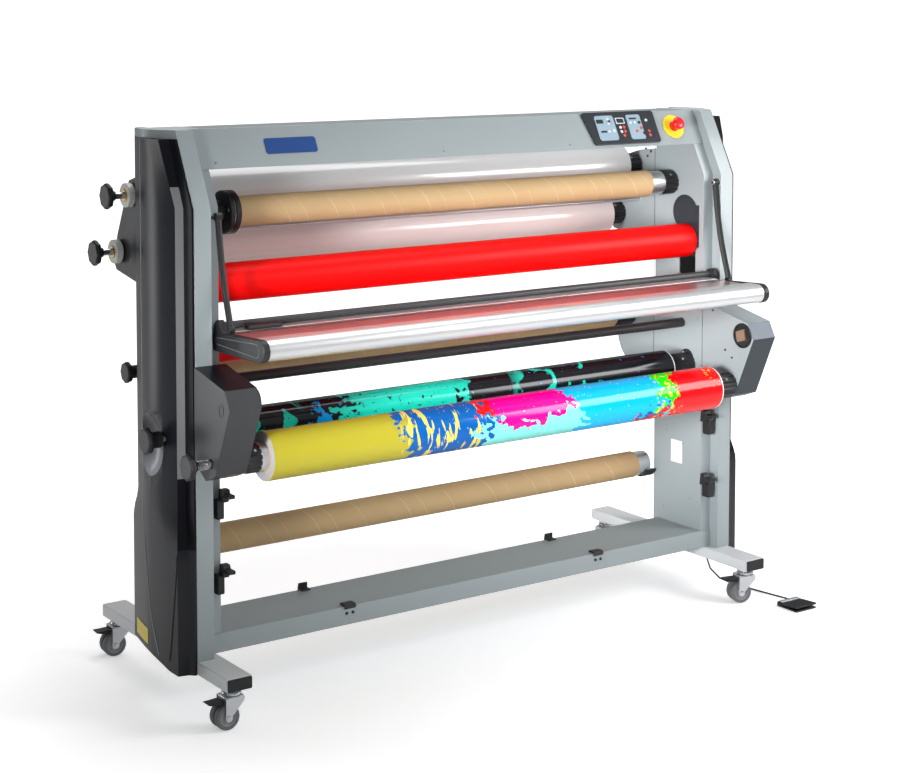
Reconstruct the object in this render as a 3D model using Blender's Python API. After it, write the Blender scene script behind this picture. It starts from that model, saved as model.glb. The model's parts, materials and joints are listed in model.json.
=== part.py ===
"""Cold roll laminator for sheets up to 1.65 m wide, as separate named pieces.

Modelled with +X to the right of someone standing at the front, +Y to the back
and +Z up.  Y = 0 is the front face of the uprights while modelling; the last
step moves everything so that the origin is the centre of the footprint.
"""
import math

import bmesh
import bpy
from mathutils import Matrix, Vector

# Driving dimensions, in metres
CLEARANCE = 0.0003          # between pieces that touch on the real machine
SHEET = 0.003               # folded steel sheet
PLATE_X = 0.853             # inner face of a side plate
UPRIGHT_IN = 0.892
STUB_REACH = 0.018          # a stub shaft past the inner face of its plate
UPRIGHT_OUT = 0.941
FLANGE_Y = 0.036            # front flange of a side plate
REAR_Y = 0.259              # rear edge of a side plate
FOOT_TOP = 0.154
BEND_Z = 1.336              # above this the uprights lean back
TOP_Z = 1.534
LEAN = 0.508                # run over rise of the leaning part
BEAM_BASE = 1.430
BEAM_FACE = 0.0325          # the beam's skin sits this far behind the uprights
COVER_TOP = 1.512
COVER_WALL = 0.003
BRACKET_OUT = 0.9405
ARM_OUT = 0.945

ROLLER_Y = 0.108            # the two nip rollers
ROLLER_RADIUS = 0.0525
ROLLER_HALF = 0.848
TOP_ROLLER_Z = 1.125
BOTTOM_ROLLER_Z = 0.965
JOURNAL_RADIUS = 0.015

CORE_RADIUS = 0.0416        # cardboard core on a 3 inch mandrel
MANDREL_RADIUS = 0.0376
CHUCK_RADIUS = 0.040
SHAFT_RADIUS = 0.0125
STAY_PIN_RADIUS = 0.005
RUNNING = 0.0005            # radial clearance of a shaft in its bore

# Axes of the rolls, as (Y, Z)
UPPER_FILM = (0.362, 1.346)
LOWER_FILM = (0.441, 1.184)
LINER = (0.185, 1.303)
REAR_CORE = (0.384, 0.856)
REAR_PRINT = (0.100, 0.730)
FRONT_PRINT = (-0.088, 0.695)
STORED_CORE = (0.286, 0.381)
GUIDE_ROD = (0.130, 0.859)
FILM_IDLER = (0.340, 1.236)

TABLE_HALF = 0.8525
TABLE_NOSE = (-0.207, 0.9935)
TABLE_TOP_Z = 1.0160
TABLE_ARM_OUT = 0.8722
TABLE_BAR = (0.010, 1.028)
STAY_TOP = (0.016, 1.312)   # pivot the table and its stays hang from
SPROCKET_X = 0.905
SPROCKET_RADIUS = 0.0335
SPROCKET_TEETH = 16
MOTOR_AXIS_Z = 0.590
MOTOR_FACE = 0.893

PANEL_X = 0.582             # control panel and stop button on the beam's face
PANEL_Z = 1.4865
STOP_X = 0.787
STOP_Z = 1.484

FLOOR_Z = 0.0125
WHEEL_RADIUS = 0.0335
CASTOR_X = 0.9035
CASTOR_TRAIL = 0.020
FOOT_BASE = 0.119
FRONT_CASTOR_Y = -0.112
REAR_CASTOR_Y = 0.556

STEEL_LIGHT = (0.50, 0.58, 0.61)
PLASTIC_BLACK = (0.025, 0.027, 0.030)
RUBBER_RED = (0.85, 0.01, 0.01)
CARDBOARD = (0.50, 0.33, 0.16)
ALUMINIUM = (0.70, 0.71, 0.72)


# --- Solids -----------------------------------------------------------------

def clear_scene():
    for item in list(bpy.data.objects):
        bpy.data.objects.remove(item)


def from_bmesh(shape):
    """Turn a bmesh into a linked object with outward normals."""
    bmesh.ops.recalc_face_normals(shape, faces=shape.faces)
    mesh = bpy.data.meshes.new("solid")
    shape.to_mesh(mesh)
    shape.free()
    item = bpy.data.objects.new("solid", mesh)
    bpy.context.scene.collection.objects.link(item)
    return item


def loft(rings, closed=False):
    """Skin rings of points, each a list of (x, y, z), with flat end faces."""
    shape = bmesh.new()
    rows = [[shape.verts.new(point) for point in ring] for ring in rings]
    pairs = list(zip(rows, rows[1:]))
    if closed:
        pairs.append((rows[-1], rows[0]))
    else:
        shape.faces.new(rows[0])
        shape.faces.new(rows[-1])
    for lower, upper in pairs:
        count = len(lower)
        for i in range(count):
            j = (i + 1) % count
            shape.faces.new((lower[i], lower[j], upper[j], upper[i]))
    return from_bmesh(shape)


def block(x_range, y_range, z_range):
    """Box between two X, two Y and two Z values, in either order."""
    (x0, x1), (y0, y1), (z0, z1) = (sorted(r) for r in (x_range, y_range, z_range))
    corners = [(x0, y0), (x1, y0), (x1, y1), (x0, y1)]
    return loft([[(x, y, z) for x, y in corners] for z in (z0, z1)])


def prism(outline, x_range):
    """Outline of (y, z) points carried along X."""
    return loft([[(x, y, z) for y, z in outline] for x in sorted(x_range)])


def circle(radius, steps, phase=0.0):
    """Points round a circle."""
    angles = [phase + 2 * math.pi * i / steps for i in range(steps)]
    return [(radius * math.cos(a), radius * math.sin(a)) for a in angles]


def turned(profile, axis, steps=32, hollow=False):
    """Turn (x, radius) points round the X axis through axis = (y, z)."""
    y, z = axis
    rings = []
    for x, radius in profile:
        rings.append([(x, y + a, z + b) for a, b in circle(radius, steps)])
    return loft(rings, closed=hollow)


def drum(x_range, axis, radius, steps=32):
    """Plain cylinder along X."""
    x0, x1 = sorted(x_range)
    return turned([(x0, radius), (x1, radius)], axis, steps)


def upright_drum(centre, z_range, radius, steps=24):
    """Plain cylinder along Z."""
    x, y = centre
    return loft([[(x + a, y + b, z) for a, b in circle(radius, steps)] for z in z_range])


def arc(centre, radius, start, end, steps):
    """Points of an arc in a plane, angles in degrees."""
    points = []
    for i in range(steps + 1):
        angle = math.radians(start + (end - start) * i / steps)
        points.append((centre[0] + radius * math.cos(angle), centre[1] + radius * math.sin(angle)))
    return points


def sheet_section(line, thickness):
    """Outline of a folded sheet whose outer face follows line."""
    count = len(line)
    inner = []
    for i in range(count):
        before = Vector(line[i]) - Vector(line[i - 1]) if i else None
        after = Vector(line[i + 1]) - Vector(line[i]) if i < count - 1 else None
        normals = [Vector((d.y, -d.x)).normalized() for d in (before, after) if d]
        total = sum(normals, Vector((0, 0)))
        reach = 2 * thickness / total.length_squared if len(normals) > 1 else thickness
        inner.append(Vector(line[i]) + total * reach)
    return list(line) + [tuple(point) for point in reversed(inner)]


def tube_along(path, radius, steps=10):
    """Round bar that follows a list of points."""
    points = [Vector(p) for p in path]
    rings = []
    side = Vector((0.0, 0.0, 1.0))
    for i, point in enumerate(points):
        ahead = points[min(i + 1, len(points) - 1)]
        behind = points[max(i - 1, 0)]
        direction = (ahead - behind).normalized()
        if abs(direction.dot(side)) > 0.9:
            side = Vector((0.0, 1.0, 0.0))
        across = direction.cross(side).normalized()
        side = across.cross(direction).normalized()
        rings.append([point + across * a + side * b for a, b in circle(radius, steps)])
    return loft(rings)


def fuse(name, solids, cuts=()):
    """Join solids into one closed body, take the cuts away and name it."""
    base = solids[0]
    for operation, others in (("UNION", solids[1:]), ("DIFFERENCE", cuts)):
        for other in others:
            change = base.modifiers.new(operation.title(), "BOOLEAN")
            change.operation = operation
            change.solver = "EXACT"
            change.object = other
    graph = bpy.context.evaluated_depsgraph_get()
    mesh = bpy.data.meshes.new_from_object(base.evaluated_get(graph))
    base.modifiers.clear()
    base.data = mesh
    for other in (*solids[1:], *cuts):
        bpy.data.objects.remove(other)
    base.name = name
    mesh.name = name
    return base


def bevel(item, width):
    """Round the sharp edges a little."""
    change = item.modifiers.new("Bevel", "BEVEL")
    change.width = width
    change.segments = 1
    change.limit_method = "ANGLE"
    change.angle_limit = math.radians(40)
    return item


def finish(item, name, colour, roughness=0.5, metallic=0.0, pivot=None):
    """Name a piece, give it its material and put its origin on its axis."""
    item.name = name
    item.data.name = name
    surface = bpy.data.materials.new(name)
    surface.use_nodes = True
    shader = surface.node_tree.nodes["Principled BSDF"]
    shader.inputs["Base Color"].default_value = (*colour, 1.0)
    shader.inputs["Roughness"].default_value = roughness
    shader.inputs["Metallic"].default_value = metallic
    item.data.materials.clear()
    item.data.materials.append(surface)
    if pivot is not None:
        item.data.transform(Matrix.Translation(-Vector(pivot)))
        item.location = pivot
    return item


def both_sides():
    return (("left", -1), ("right", 1))


def leaning_y(z, offset=0.0):
    """Y of a face of the leaning part, offset behind the uprights' front."""
    return offset + (z - BEND_Z) * LEAN


# --- Frame --------------------------------------------------------------------

def side_frame(name, side):
    """Upright, front flange, side plate and rear return, with its cap and core cradle."""
    line = [(UPRIGHT_OUT, 0.040), (UPRIGHT_OUT, 0.0), (UPRIGHT_IN, 0.0), (UPRIGHT_IN, FLANGE_Y),
            (PLATE_X, FLANGE_Y), (PLATE_X, REAR_Y), (UPRIGHT_IN, REAR_Y)]
    front_zone = 0.05
    rings = []
    for z in (FOOT_TOP + CLEARANCE, BEND_Z, TOP_Z):
        lean = max(0.0, (z - BEND_Z) * LEAN)
        section = sheet_section(line, SHEET)
        rings.append([(side * x, y + (lean if y < front_zone else 0.0), z) for x, y in section])
    item = fuse(name, [loft(rings), end_cap(side), cradle(side)], side_frame_holes(side))
    return finish(item, name, STEEL_LIGHT, 0.45, 0.2)


def side_frame_holes(side):
    """Lift slot and shaft bores through the plate, and the stay's bore in the upright."""
    plate = (side * (PLATE_X - 0.01), side * (PLATE_X + 0.01))
    wall = (side * (UPRIGHT_IN - 0.01), side * (UPRIGHT_IN + 0.01))
    slot_half = 0.037
    slot_z = (1.015, 1.178)
    cuts = [block(plate, (ROLLER_Y - slot_half, ROLLER_Y + slot_half), slot_z)]
    bores = [((ROLLER_Y, BOTTOM_ROLLER_Z), JOURNAL_RADIUS), (LINER, SHAFT_RADIUS), (REAR_PRINT, SHAFT_RADIUS)]
    cuts += [drum(plate, axis, radius + RUNNING, 20) for axis, radius in bores]
    cuts.append(drum(wall, STAY_TOP, STAY_PIN_RADIUS + RUNNING, 12))
    return cuts


def end_cap(side):
    """Light cap that closes the upright and the cover at the top."""
    inner = PLATE_X + CLEARANCE
    wall = UPRIGHT_IN + 0.001
    rear = REAR_Y + 0.001
    rings = []
    for z in (COVER_TOP + CLEARANCE, TOP_Z + 0.0005):
        front = leaning_y(z, 0.002)
        flange = leaning_y(z, FLANGE_Y + 0.001)
        plan = [(inner, flange), (wall, flange), (wall, front), (UPRIGHT_OUT, front)]
        plan += [(0.966, front + 0.046), (0.985, 0.200), (0.976, 0.270), (0.955, 0.300)]
        plan += [(UPRIGHT_OUT + 0.001, 0.302), (UPRIGHT_OUT, rear), (inner, rear)]
        rings.append([(side * x, y, z) for x, y in plan])
    return loft(rings)


def cradle(side):
    """Open cradle behind the plate for one end of the stored core."""
    bore = MANDREL_RADIUS + 0.001
    outline = arc(STORED_CORE, bore, -160, -12, 8) + arc(STORED_CORE, bore + 0.004, -12, -160, 8)
    return prism(outline, (side * 0.815, side * (PLATE_X + 0.009)))


def foot(name, side):
    """Rectangular tube with closed end caps under a side frame."""
    z_range = (FOOT_BASE, FOOT_TOP)
    item = block((side * 0.8657, side * UPRIGHT_OUT), (-0.1567, 0.5875), z_range)
    bevel(item, 0.003)
    return finish(item, name, STEEL_LIGHT, 0.45, 0.2)


def cross_member(name, outline, skin, colour=STEEL_LIGHT):
    """Folded channel between the side plates with a front skin out to the uprights."""
    half = PLATE_X - CLEARANCE
    channel = prism(sheet_section(outline, SHEET), (-half, half))
    wings = prism(skin, (-(UPRIGHT_IN - CLEARANCE), UPRIGHT_IN - CLEARANCE))
    item = fuse(name, [channel, wings])
    return finish(item, name, colour, 0.45, 0.2)


def bottom_stretcher():
    base, top, rear = FOOT_TOP + 0.001, 0.207, 0.2368
    front = BEAM_FACE
    outline = [(front, base), (front, top), (rear, top), (rear, base)]
    skin = [(front, base), (front, top), (front + SHEET, top), (front + SHEET, base)]
    return cross_member("bottom_stretcher", outline, skin)


def top_beam():
    low = (leaning_y(BEAM_BASE, BEAM_FACE), BEAM_BASE)
    high = (leaning_y(TOP_Z, BEAM_FACE), TOP_Z)
    rear = REAR_Y - 0.005
    outline = [(0.130, BEAM_BASE), low, high, (rear, TOP_Z), (rear, 1.46)]
    skin = [low, high, (high[0] + SHEET, high[1]), (low[0] + SHEET, low[1])]
    return cross_member("top_beam", outline, skin)


def cover_base(y):
    """Height of a cover's lower edge, which drops towards the front."""
    return 0.120 + 0.022 * min(1.0, max(0.0, (y - 0.06) / 0.12))


def cover_section(z, facet):
    """Outer line (x, y) of a side cover at height z.

    facet is 0 where the front of the cover is a narrow strip with a step behind
    it, and 1 where one slanting face replaces the step.
    """
    lean = max(0.0, (z - BEND_Z) * LEAN)
    front = lean + 0.002
    swell = 0.030 * min(1.0, max(0.0, (0.56 - z) / 0.05))
    strip = (0.947 + 0.012 * facet, front + 0.046 - 0.034 * facet)
    ridge = (0.968 + 0.014 * facet, front + 0.052 - 0.018 * facet)
    shoulder = (0.986, ridge[1] + 0.048)
    rear = 0.300 + swell
    return [(0.947, front), strip, ridge, shoulder, (0.991, max(0.165, shoulder[1] + 0.03)),
            (0.985, 0.215), (0.962, rear), (0.950, rear + 0.006)]


def side_cover(name, side):
    """Moulded cover over the drive side or the free side, a thin shell open inwards."""
    inside = UPRIGHT_OUT + CLEARANCE
    outer = []
    inner = []
    levels = ((0.142, 1), (0.420, 1), (0.510, 0.3), (0.560, 0), (BEND_Z, 0), (1.390, 0.1), (COVER_TOP, 1))
    for i, (z, facet) in enumerate(levels):
        line = cover_section(z, facet)
        first, last = line[0][1], line[-1][1]
        line = [(inside, first)] + line + [(inside, last)]
        outer.append([(side * x, y, z if i else cover_base(y)) for x, y in line])
        middle = (first + last) / 2
        pinch = 1 - 2 * COVER_WALL / (last - first)
        level = z - COVER_WALL if z == COVER_TOP else z
        if i == 0:
            level = FOOT_BASE - COVER_WALL * 3
        inner.append([(side * (x - 2 * COVER_WALL), middle + (y - middle) * pinch, level) for x, y in line])
    cuts = [loft(inner)]
    if side < 0:
        cuts.append(drum((-0.90, -1.05), REAR_PRINT, SHAFT_RADIUS + 0.004, 20))
    item = fuse(name, [loft(outer)], cuts)
    return finish(item, name, PLASTIC_BLACK, 0.35)


def upper_rear_bracket(name, side):
    """Boxed arm behind a side plate that carries the two film rolls."""
    y0 = REAR_Y + CLEARANCE
    outline = [(y0, 1.095), (0.318, 1.105), (0.468, 1.130), (0.482, 1.150), (0.460, 1.228)]
    outline += [(0.402, 1.345), (0.384, 1.384), (0.335, 1.397), (y0, 1.405)]
    cavity = [(y0 - 0.01, 1.099), (0.316, 1.109), (0.464, 1.134), (0.477, 1.152), (0.456, 1.227)]
    cavity += [(0.398, 1.343), (0.381, 1.380), (0.334, 1.393), (y0 - 0.01, 1.401)]
    box = prism(outline, (side * PLATE_X, side * BRACKET_OUT))
    cuts = [prism(cavity, (side * (PLATE_X + SHEET), side * (BRACKET_OUT - SHEET)))]
    for axis in (UPPER_FILM, LOWER_FILM):
        cuts.append(drum((side * 0.84, side * 0.96), axis, SHAFT_RADIUS + RUNNING, 20))
    item = fuse(name, [box], cuts)
    colour = PLASTIC_BLACK if side < 0 else STEEL_LIGHT
    return finish(item, name, colour, 0.45, 0.2)


def lower_rear_arm(name, side):
    """Curved plate behind a side plate that carries the rear core."""
    y0 = REAR_Y + CLEARANCE
    outline = [(y0, 0.665), (0.290, 0.670)] + arc((0.330, 0.795), 0.115, -75, 10, 6)
    outline += [(0.445, 0.890), (0.410, 0.935), (y0, 0.950)]
    thick = (side * PLATE_X, side * (PLATE_X + 0.020))
    bore = drum((side * 0.84, side * 0.88), REAR_CORE, SHAFT_RADIUS + RUNNING, 20)
    item = fuse(name, [prism(outline, thick)], [bore])
    return finish(item, name, STEEL_LIGHT, 0.45, 0.2)


def front_arm(name, side):
    """Hollow arm in front of an upright that carries the front roll."""
    back = -CLEARANCE
    outline = [(back, 0.930), (-0.165, 0.895), (-0.190, 0.848)]
    outline += [(-0.110, 0.665), (-0.060, 0.646), (back, 0.685)]
    cavity = [(0.01, 0.921), (-0.160, 0.889), (-0.186, 0.848)]
    cavity += [(-0.108, 0.671), (-0.062, 0.652), (0.01, 0.692)]
    reach = FLANGE_Y - CLEARANCE
    tongue = [(-0.010, 0.920), (-0.010, 0.700), (reach, 0.700), (reach, 0.920)]
    housing = prism(outline, (side * PLATE_X, side * ARM_OUT))
    inner_plate = prism(tongue, (side * PLATE_X, side * (PLATE_X + SHEET)))
    hollow = prism(cavity, (side * (PLATE_X + SHEET), side * (ARM_OUT - SHEET)))
    bore = drum((side * 0.84, side * 0.96), FRONT_PRINT, SHAFT_RADIUS + RUNNING, 20)
    item = fuse(name, [housing, inner_plate], [hollow, bore])
    colour = PLASTIC_BLACK if side < 0 else STEEL_LIGHT
    return finish(item, name, colour, 0.4)


# --- Rollers and rolls ----------------------------------------------------------

def lift_block(name, side):
    """Bearing block of the top roller with its round cover plate inside."""
    axis = (ROLLER_Y, TOP_ROLLER_Z)
    inside = (side * 0.8490, side * (PLATE_X - CLEARANCE))
    disc = drum(inside, (0.118, 1.212), 0.055, 28)
    tail = block(inside, (0.055, 0.140), (1.105, 1.238))
    neck = block((side * 0.850, side * 0.870), (ROLLER_Y - 0.033, ROLLER_Y + 0.033), (1.080, 1.172))
    outside = (side * (PLATE_X + SHEET + 0.001), side * 0.885)
    carrier = block(outside, (ROLLER_Y - 0.050, ROLLER_Y + 0.050), (1.075, 1.190))
    bore = drum((side * 0.84, side * 0.90), axis, JOURNAL_RADIUS + RUNNING, 20)
    item = fuse(name, [disc, tail, neck, carrier], [bore])
    return finish(item, name, PLASTIC_BLACK, 0.5, 0.0, (side * 0.868, ROLLER_Y, TOP_ROLLER_Z))


def nip_roller(name, z, with_sprocket):
    """Silicone covered roller with its journals, turning on its own axis."""
    axis = (ROLLER_Y, z)
    end, face, r = 0.882, ROLLER_HALF, ROLLER_RADIUS
    profile = [(-end, JOURNAL_RADIUS), (-face, JOURNAL_RADIUS), (-face, r - 0.003), (-face + 0.003, r)]
    profile += [(-x, radius) for x, radius in reversed(profile)]
    solids = [turned(profile, axis, 36)]
    if with_sprocket:
        solids.append(drum((-0.870, -(SPROCKET_X + 0.006)), axis, SHAFT_RADIUS, 16))
        solids.append(sprocket(axis))
    item = fuse(name, solids)
    return finish(item, name, RUBBER_RED, 0.4, 0.0, (0.0, ROLLER_Y, z))


def sprocket(axis):
    """Small toothed wheel for the drive chain."""
    outline = []
    for i in range(SPROCKET_TEETH * 2):
        angle = math.pi * i / SPROCKET_TEETH
        reach = SPROCKET_RADIUS if i % 2 else SPROCKET_RADIUS - 0.003
        outline.append((axis[0] + reach * math.cos(angle), axis[1] + reach * math.sin(angle)))
    return prism(outline, (-(SPROCKET_X - 0.0025), -(SPROCKET_X + 0.0025)))


def chuck_end(inner, reach):
    """Profile of a chuck from x = inner to the side plate, then the stub shaft."""
    outer = PLATE_X - CLEARANCE
    return [(inner, CHUCK_RADIUS), (outer - 0.006, CHUCK_RADIUS), (outer, CHUCK_RADIUS - 0.006),
            (outer, SHAFT_RADIUS), (reach, SHAFT_RADIUS)]


def mirrored(profile):
    """The same profile at the other end, in order from the far end inwards."""
    return [(-x, radius) for x, radius in reversed(profile)]


def roll_on_chucks(name, axis, radius, x_range, colour, roughness):
    """Roll, its two chucks and its stub shafts in one turning piece."""
    x0, x1 = x_range
    reach = PLATE_X + STUB_REACH
    left = mirrored([(-x0, radius)] + chuck_end(-x0, reach))
    right = [(x1, radius)] + chuck_end(x1, reach)
    item = turned(left + right, axis, 32)
    return finish(item, name, colour, roughness, 0.0, (0.0, *axis))


def tube(name, axis, radius, bore, x_range, colour, roughness):
    """Roll or core with an open bore."""
    x0, x1 = x_range
    profile = [(x0, bore), (x0, radius), (x1, radius), (x1, bore)]
    item = turned(profile, axis, 32, hollow=True)
    return finish(item, name, colour, roughness, 0.0, (0.0, *axis))


def mandrel(name, axis, x_range, left_disc=None):
    """Aluminium mandrel with a chuck at each end and a shaft through the plates."""
    x0, x1 = x_range
    reach = PLATE_X + SHEET + 0.010
    left = mirrored([(-x0, MANDREL_RADIUS)] + chuck_end(-x0, reach))
    if left_disc:
        x, radius = left_disc
        left.append((x - 0.022, MANDREL_RADIUS))
        for back, less in ((0.020, 0.0), (0.014, 0.0), (0.011, 0.010), (0.008, 0.0), (0.001, 0.0)):
            left.append((x - back, radius - less))
        left.append((x, MANDREL_RADIUS))
    right = [(x1, MANDREL_RADIUS)] + chuck_end(x1, reach)
    item = turned(left + right, axis, 32)
    return finish(item, name, ALUMINIUM, 0.3, 0.9, (0.0, *axis))


def stored_core():
    """Spare core on its mandrel, lying in the rear cradles."""
    right = [(0.780, CORE_RADIUS), (0.780, MANDREL_RADIUS), (0.831, MANDREL_RADIUS)]
    item = turned(mirrored(right) + right, STORED_CORE, 32)
    return finish(item, "stored_core", CARDBOARD, 0.8, 0.0, (0.0, *STORED_CORE))


def knob(name, x, axis, stem_to, radius=0.036):
    """Lobed tension knob outside the left side, on its stem."""
    lobes = 8
    steps = 32
    outline = []
    for i in range(steps):
        angle = 2 * math.pi * i / steps
        reach = radius * (1 - 0.06 * (0.5 - 0.5 * math.cos(lobes * angle)))
        outline.append((axis[0] + reach * math.cos(angle), axis[1] + reach * math.sin(angle)))
    head = prism(outline, (x, x + 0.016))
    collar = turned([(x + 0.014, 0.024), (x + 0.026, 0.013), (x + 0.040, 0.012)], axis, 20)
    stem = drum((x + 0.030, stem_to), axis, 0.0095, 16)
    item = fuse(name, [head, collar, stem])
    return finish(item, name, PLASTIC_BLACK, 0.45, 0.0, (x, *axis))


# --- Table ----------------------------------------------------------------------

def table_panel():
    """Feed table: rounded nose, flat plate and the bar along its back edge."""
    nose = arc(TABLE_NOSE, 0.0278, 90, 270, 12)
    outline = nose + [(-0.162, 0.9670), (-0.155, 0.975), (-0.155, 1.0120), (0.008, 1.0120)]
    outline += [(0.008, TABLE_TOP_Z), (-0.150, TABLE_TOP_Z), (-0.172, 1.0213)]
    rib = [(0.004, 1.0125), (0.016, 1.0125), (0.014, 1.024), (0.006, 1.024)]
    across = (-TABLE_HALF, TABLE_HALF)
    solids = [prism(outline, across), prism(rib, across), drum(across, TABLE_BAR, 0.010, 20)]
    item = fuse("table_panel", solids)
    return finish(item, "table_panel", ALUMINIUM, 0.3, 0.9, (0.0, *STAY_TOP))


def table_arm(name, side):
    """Moulded end piece of the table, raised round the end of the bar."""
    front = arc((TABLE_NOSE[0] - 0.002, TABLE_NOSE[1]), 0.029, 85, 265, 8)
    outline = front + [(-0.120, 0.9620), (-0.020, 0.9610), (0.033, 0.9620), (0.034, 1.0020)]
    outline += [(0.030, 1.0280)] + arc(TABLE_BAR, 0.016, 0, 180, 8)[1:] + [(-0.020, 1.0120), (-0.060, 1.0150)]
    item = prism(outline, (side * (TABLE_HALF + CLEARANCE), side * TABLE_ARM_OUT))
    return finish(item, name, PLASTIC_BLACK, 0.45, 0.0, (side * 0.863, *STAY_TOP))


def stay(name, side, x, boss, foot_z):
    """Bent bar that holds one end of the table; boss is the X range of its lower end."""
    (y0, z0), (y1, z1) = STAY_TOP, (-0.050, foot_z)
    bow = 0.010
    steps = 8
    path = []
    for i in range(steps + 1):
        t = i / steps
        path.append((side * x, y0 + (y1 - y0) * t + bow * math.sin(math.pi * t), z0 + (z1 - z0) * t))
    bar = tube_along(path, 0.0088, 8)
    top = drum((side * (x - 0.009), side * (x + 0.009)), STAY_TOP, 0.011, 16)
    pin = drum((side * x, side * (UPRIGHT_IN + 0.0055)), STAY_TOP, STAY_PIN_RADIUS, 12)
    bottom = drum([side * value for value in boss], (y1, z1), 0.010, 16)
    item = fuse(name, [bar, top, pin, bottom])
    return finish(item, name, PLASTIC_BLACK, 0.4, 0.0, (side * x, *STAY_TOP))


# --- Controls --------------------------------------------------------------------

def on_beam_face(item, x, z, lift=CLEARANCE):
    """Lay a piece modelled on the XY plane onto the leaning front of the beam."""
    tilt = math.atan2(1.0, LEAN)
    y = leaning_y(z, BEAM_FACE)
    normal = Vector((0.0, -math.sin(tilt), math.cos(tilt)))
    item.data.transform(Matrix.Rotation(tilt, 4, "X"))
    item.data.transform(Matrix.Translation(Vector((x, y, z)) + normal * lift))
    return item


def rounded_rectangle(width, height, radius, steps=4):
    """Outline of (x, y) points with rounded corners."""
    points = []
    for cx, cy, start in ((1, 1, 0), (-1, 1, 90), (-1, -1, 180), (1, -1, 270)):
        centre = (cx * (width / 2 - radius), cy * (height / 2 - radius))
        points += arc(centre, radius, start, start + 90, steps)
    return points


def control_panel():
    """Raised bezel of the control panel."""
    outline = rounded_rectangle(0.270, 0.108, 0.014)
    levels = ((1.0, 0.0), (1.0, 0.006), (0.985, 0.009))
    rings = [[(x * k, y * k, z) for x, y in outline] for k, z in levels]
    item = on_beam_face(loft(rings), PANEL_X, PANEL_Z)
    return finish(item, "control_panel", PLASTIC_BLACK, 0.4)


def stop_button():
    """Mushroom button for an emergency stop; it is pushed towards the beam."""
    profile = [(0.0095, 0.0135), (0.022, 0.0135), (0.024, 0.0195)]
    profile += [(0.032, 0.0205), (0.037, 0.0170), (0.039, 0.0090)]
    rings = [[(a, b, z) for a, b in circle(radius, 24)] for z, radius in profile]
    item = on_beam_face(loft(rings), STOP_X, STOP_Z, 0.0)
    pivot = (STOP_X, leaning_y(STOP_Z, BEAM_FACE), STOP_Z)
    return finish(item, "stop_button", (0.80, 0.01, 0.02), 0.3, 0.0, pivot)


# --- Castors -----------------------------------------------------------------------

def castor(name, x, y, heading):
    """Braked twin-wheel castor: fork, wheel and brake lever."""
    turn = Matrix.Translation((x, y, 0.0)) @ Matrix.Rotation(math.radians(heading), 4, "Z")
    axle = (CASTOR_TRAIL, 0.0, FLOOR_Z + WHEEL_RADIUS)
    lever_pivot = (0.036, 0.0, 0.086)
    pieces = ((castor_fork(), "_fork", (0.75, 0.77, 0.78), 0.9, (0.0, 0.0, 0.105)),
              (castor_wheel(), "_wheel", (0.22, 0.23, 0.24), 0.0, axle),
              (castor_lever(), "_brake_lever", PLASTIC_BLACK, 0.0, lever_pivot))
    for item, ending, colour, metallic, pivot in pieces:
        item.data.transform(turn)
        finish(item, name + ending, colour, 0.4, metallic, turn @ Vector(pivot))


def castor_fork():
    """Pressed fork with its swivel head, facing +X with the wheel trailing."""
    top = FOOT_BASE - CLEARANCE
    axle_z = FLOOR_Z + WHEEL_RADIUS
    trail = CASTOR_TRAIL
    outline = [(-0.026, 0.096), (0.030, 0.096), (trail + 0.010, axle_z - 0.002),
               (trail, axle_z - 0.010), (trail - 0.010, axle_z - 0.002)]
    solids = [block((-0.026, 0.030), (-0.0275, 0.0275), (0.0935, 0.0985))]
    solids.append(upright_drum((0.0, 0.0), (0.094, top - 0.004), 0.016, 20))
    solids.append(upright_drum((0.0, 0.0), (top - 0.008, top), 0.026, 20))
    for side_y in ((-0.0275, -0.0245), (0.0245, 0.0275)):
        solids.append(loft([[(px, py, pz) for px, pz in outline] for py in side_y]))
    axle = circle(0.005, 12)
    solids.append(loft([[(trail + a, y_end, axle_z + b) for a, b in axle] for y_end in (-0.030, 0.030)]))
    return fuse("fork", solids)


def castor_wheel():
    """Twin wheel with a bore for the axle."""
    full, groove, bore = WHEEL_RADIUS, WHEEL_RADIUS - 0.004, 0.0055
    profile = [(-0.0235, bore), (-0.0235, full - 0.005), (-0.0190, full), (-0.0070, full), (-0.0035, groove)]
    profile += [(-across, radius) for across, radius in reversed(profile)]
    axle_z = FLOOR_Z + WHEEL_RADIUS
    rings = []
    for across, radius in profile:
        rings.append([(CASTOR_TRAIL + a, across, axle_z + b) for a, b in circle(radius, 24, math.pi / 2)])
    return loft(rings, closed=True)


def castor_lever():
    """Pointed pedal that presses the brake."""
    outline = [(0.031, 0.0810), (0.040, 0.0795), (0.060, 0.0820), (0.073, 0.0860), (0.074, 0.0890),
               (0.058, 0.0890), (0.038, 0.0905), (0.031, 0.0900)]
    return loft([[(px, py, pz) for px, pz in outline] for py in (-0.017, 0.017)])


# --- Drive and pedal ------------------------------------------------------------------

def drive_motor():
    """Geared motor on the outside of the left side plate."""
    inner = -(PLATE_X + SHEET + CLEARANCE)
    gearbox = block((inner, -MOTOR_FACE), (0.060, 0.156), (0.520, 0.640))
    body = upright_drum((-0.895, ROLLER_Y), (0.340, 0.540), 0.036)
    item = fuse("drive_motor", [gearbox, body])
    return finish(item, "drive_motor", (0.12, 0.13, 0.14), 0.5, 0.3)


def motor_sprocket():
    axis = (ROLLER_Y, MOTOR_AXIS_Z)
    hub = drum((-(MOTOR_FACE + CLEARANCE), -(SPROCKET_X + 0.006)), axis, 0.010, 16)
    item = fuse("motor_sprocket", [sprocket(axis), hub])
    return finish(item, "motor_sprocket", (0.30, 0.30, 0.31), 0.4, 0.8, (-SPROCKET_X, *axis))


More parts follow.
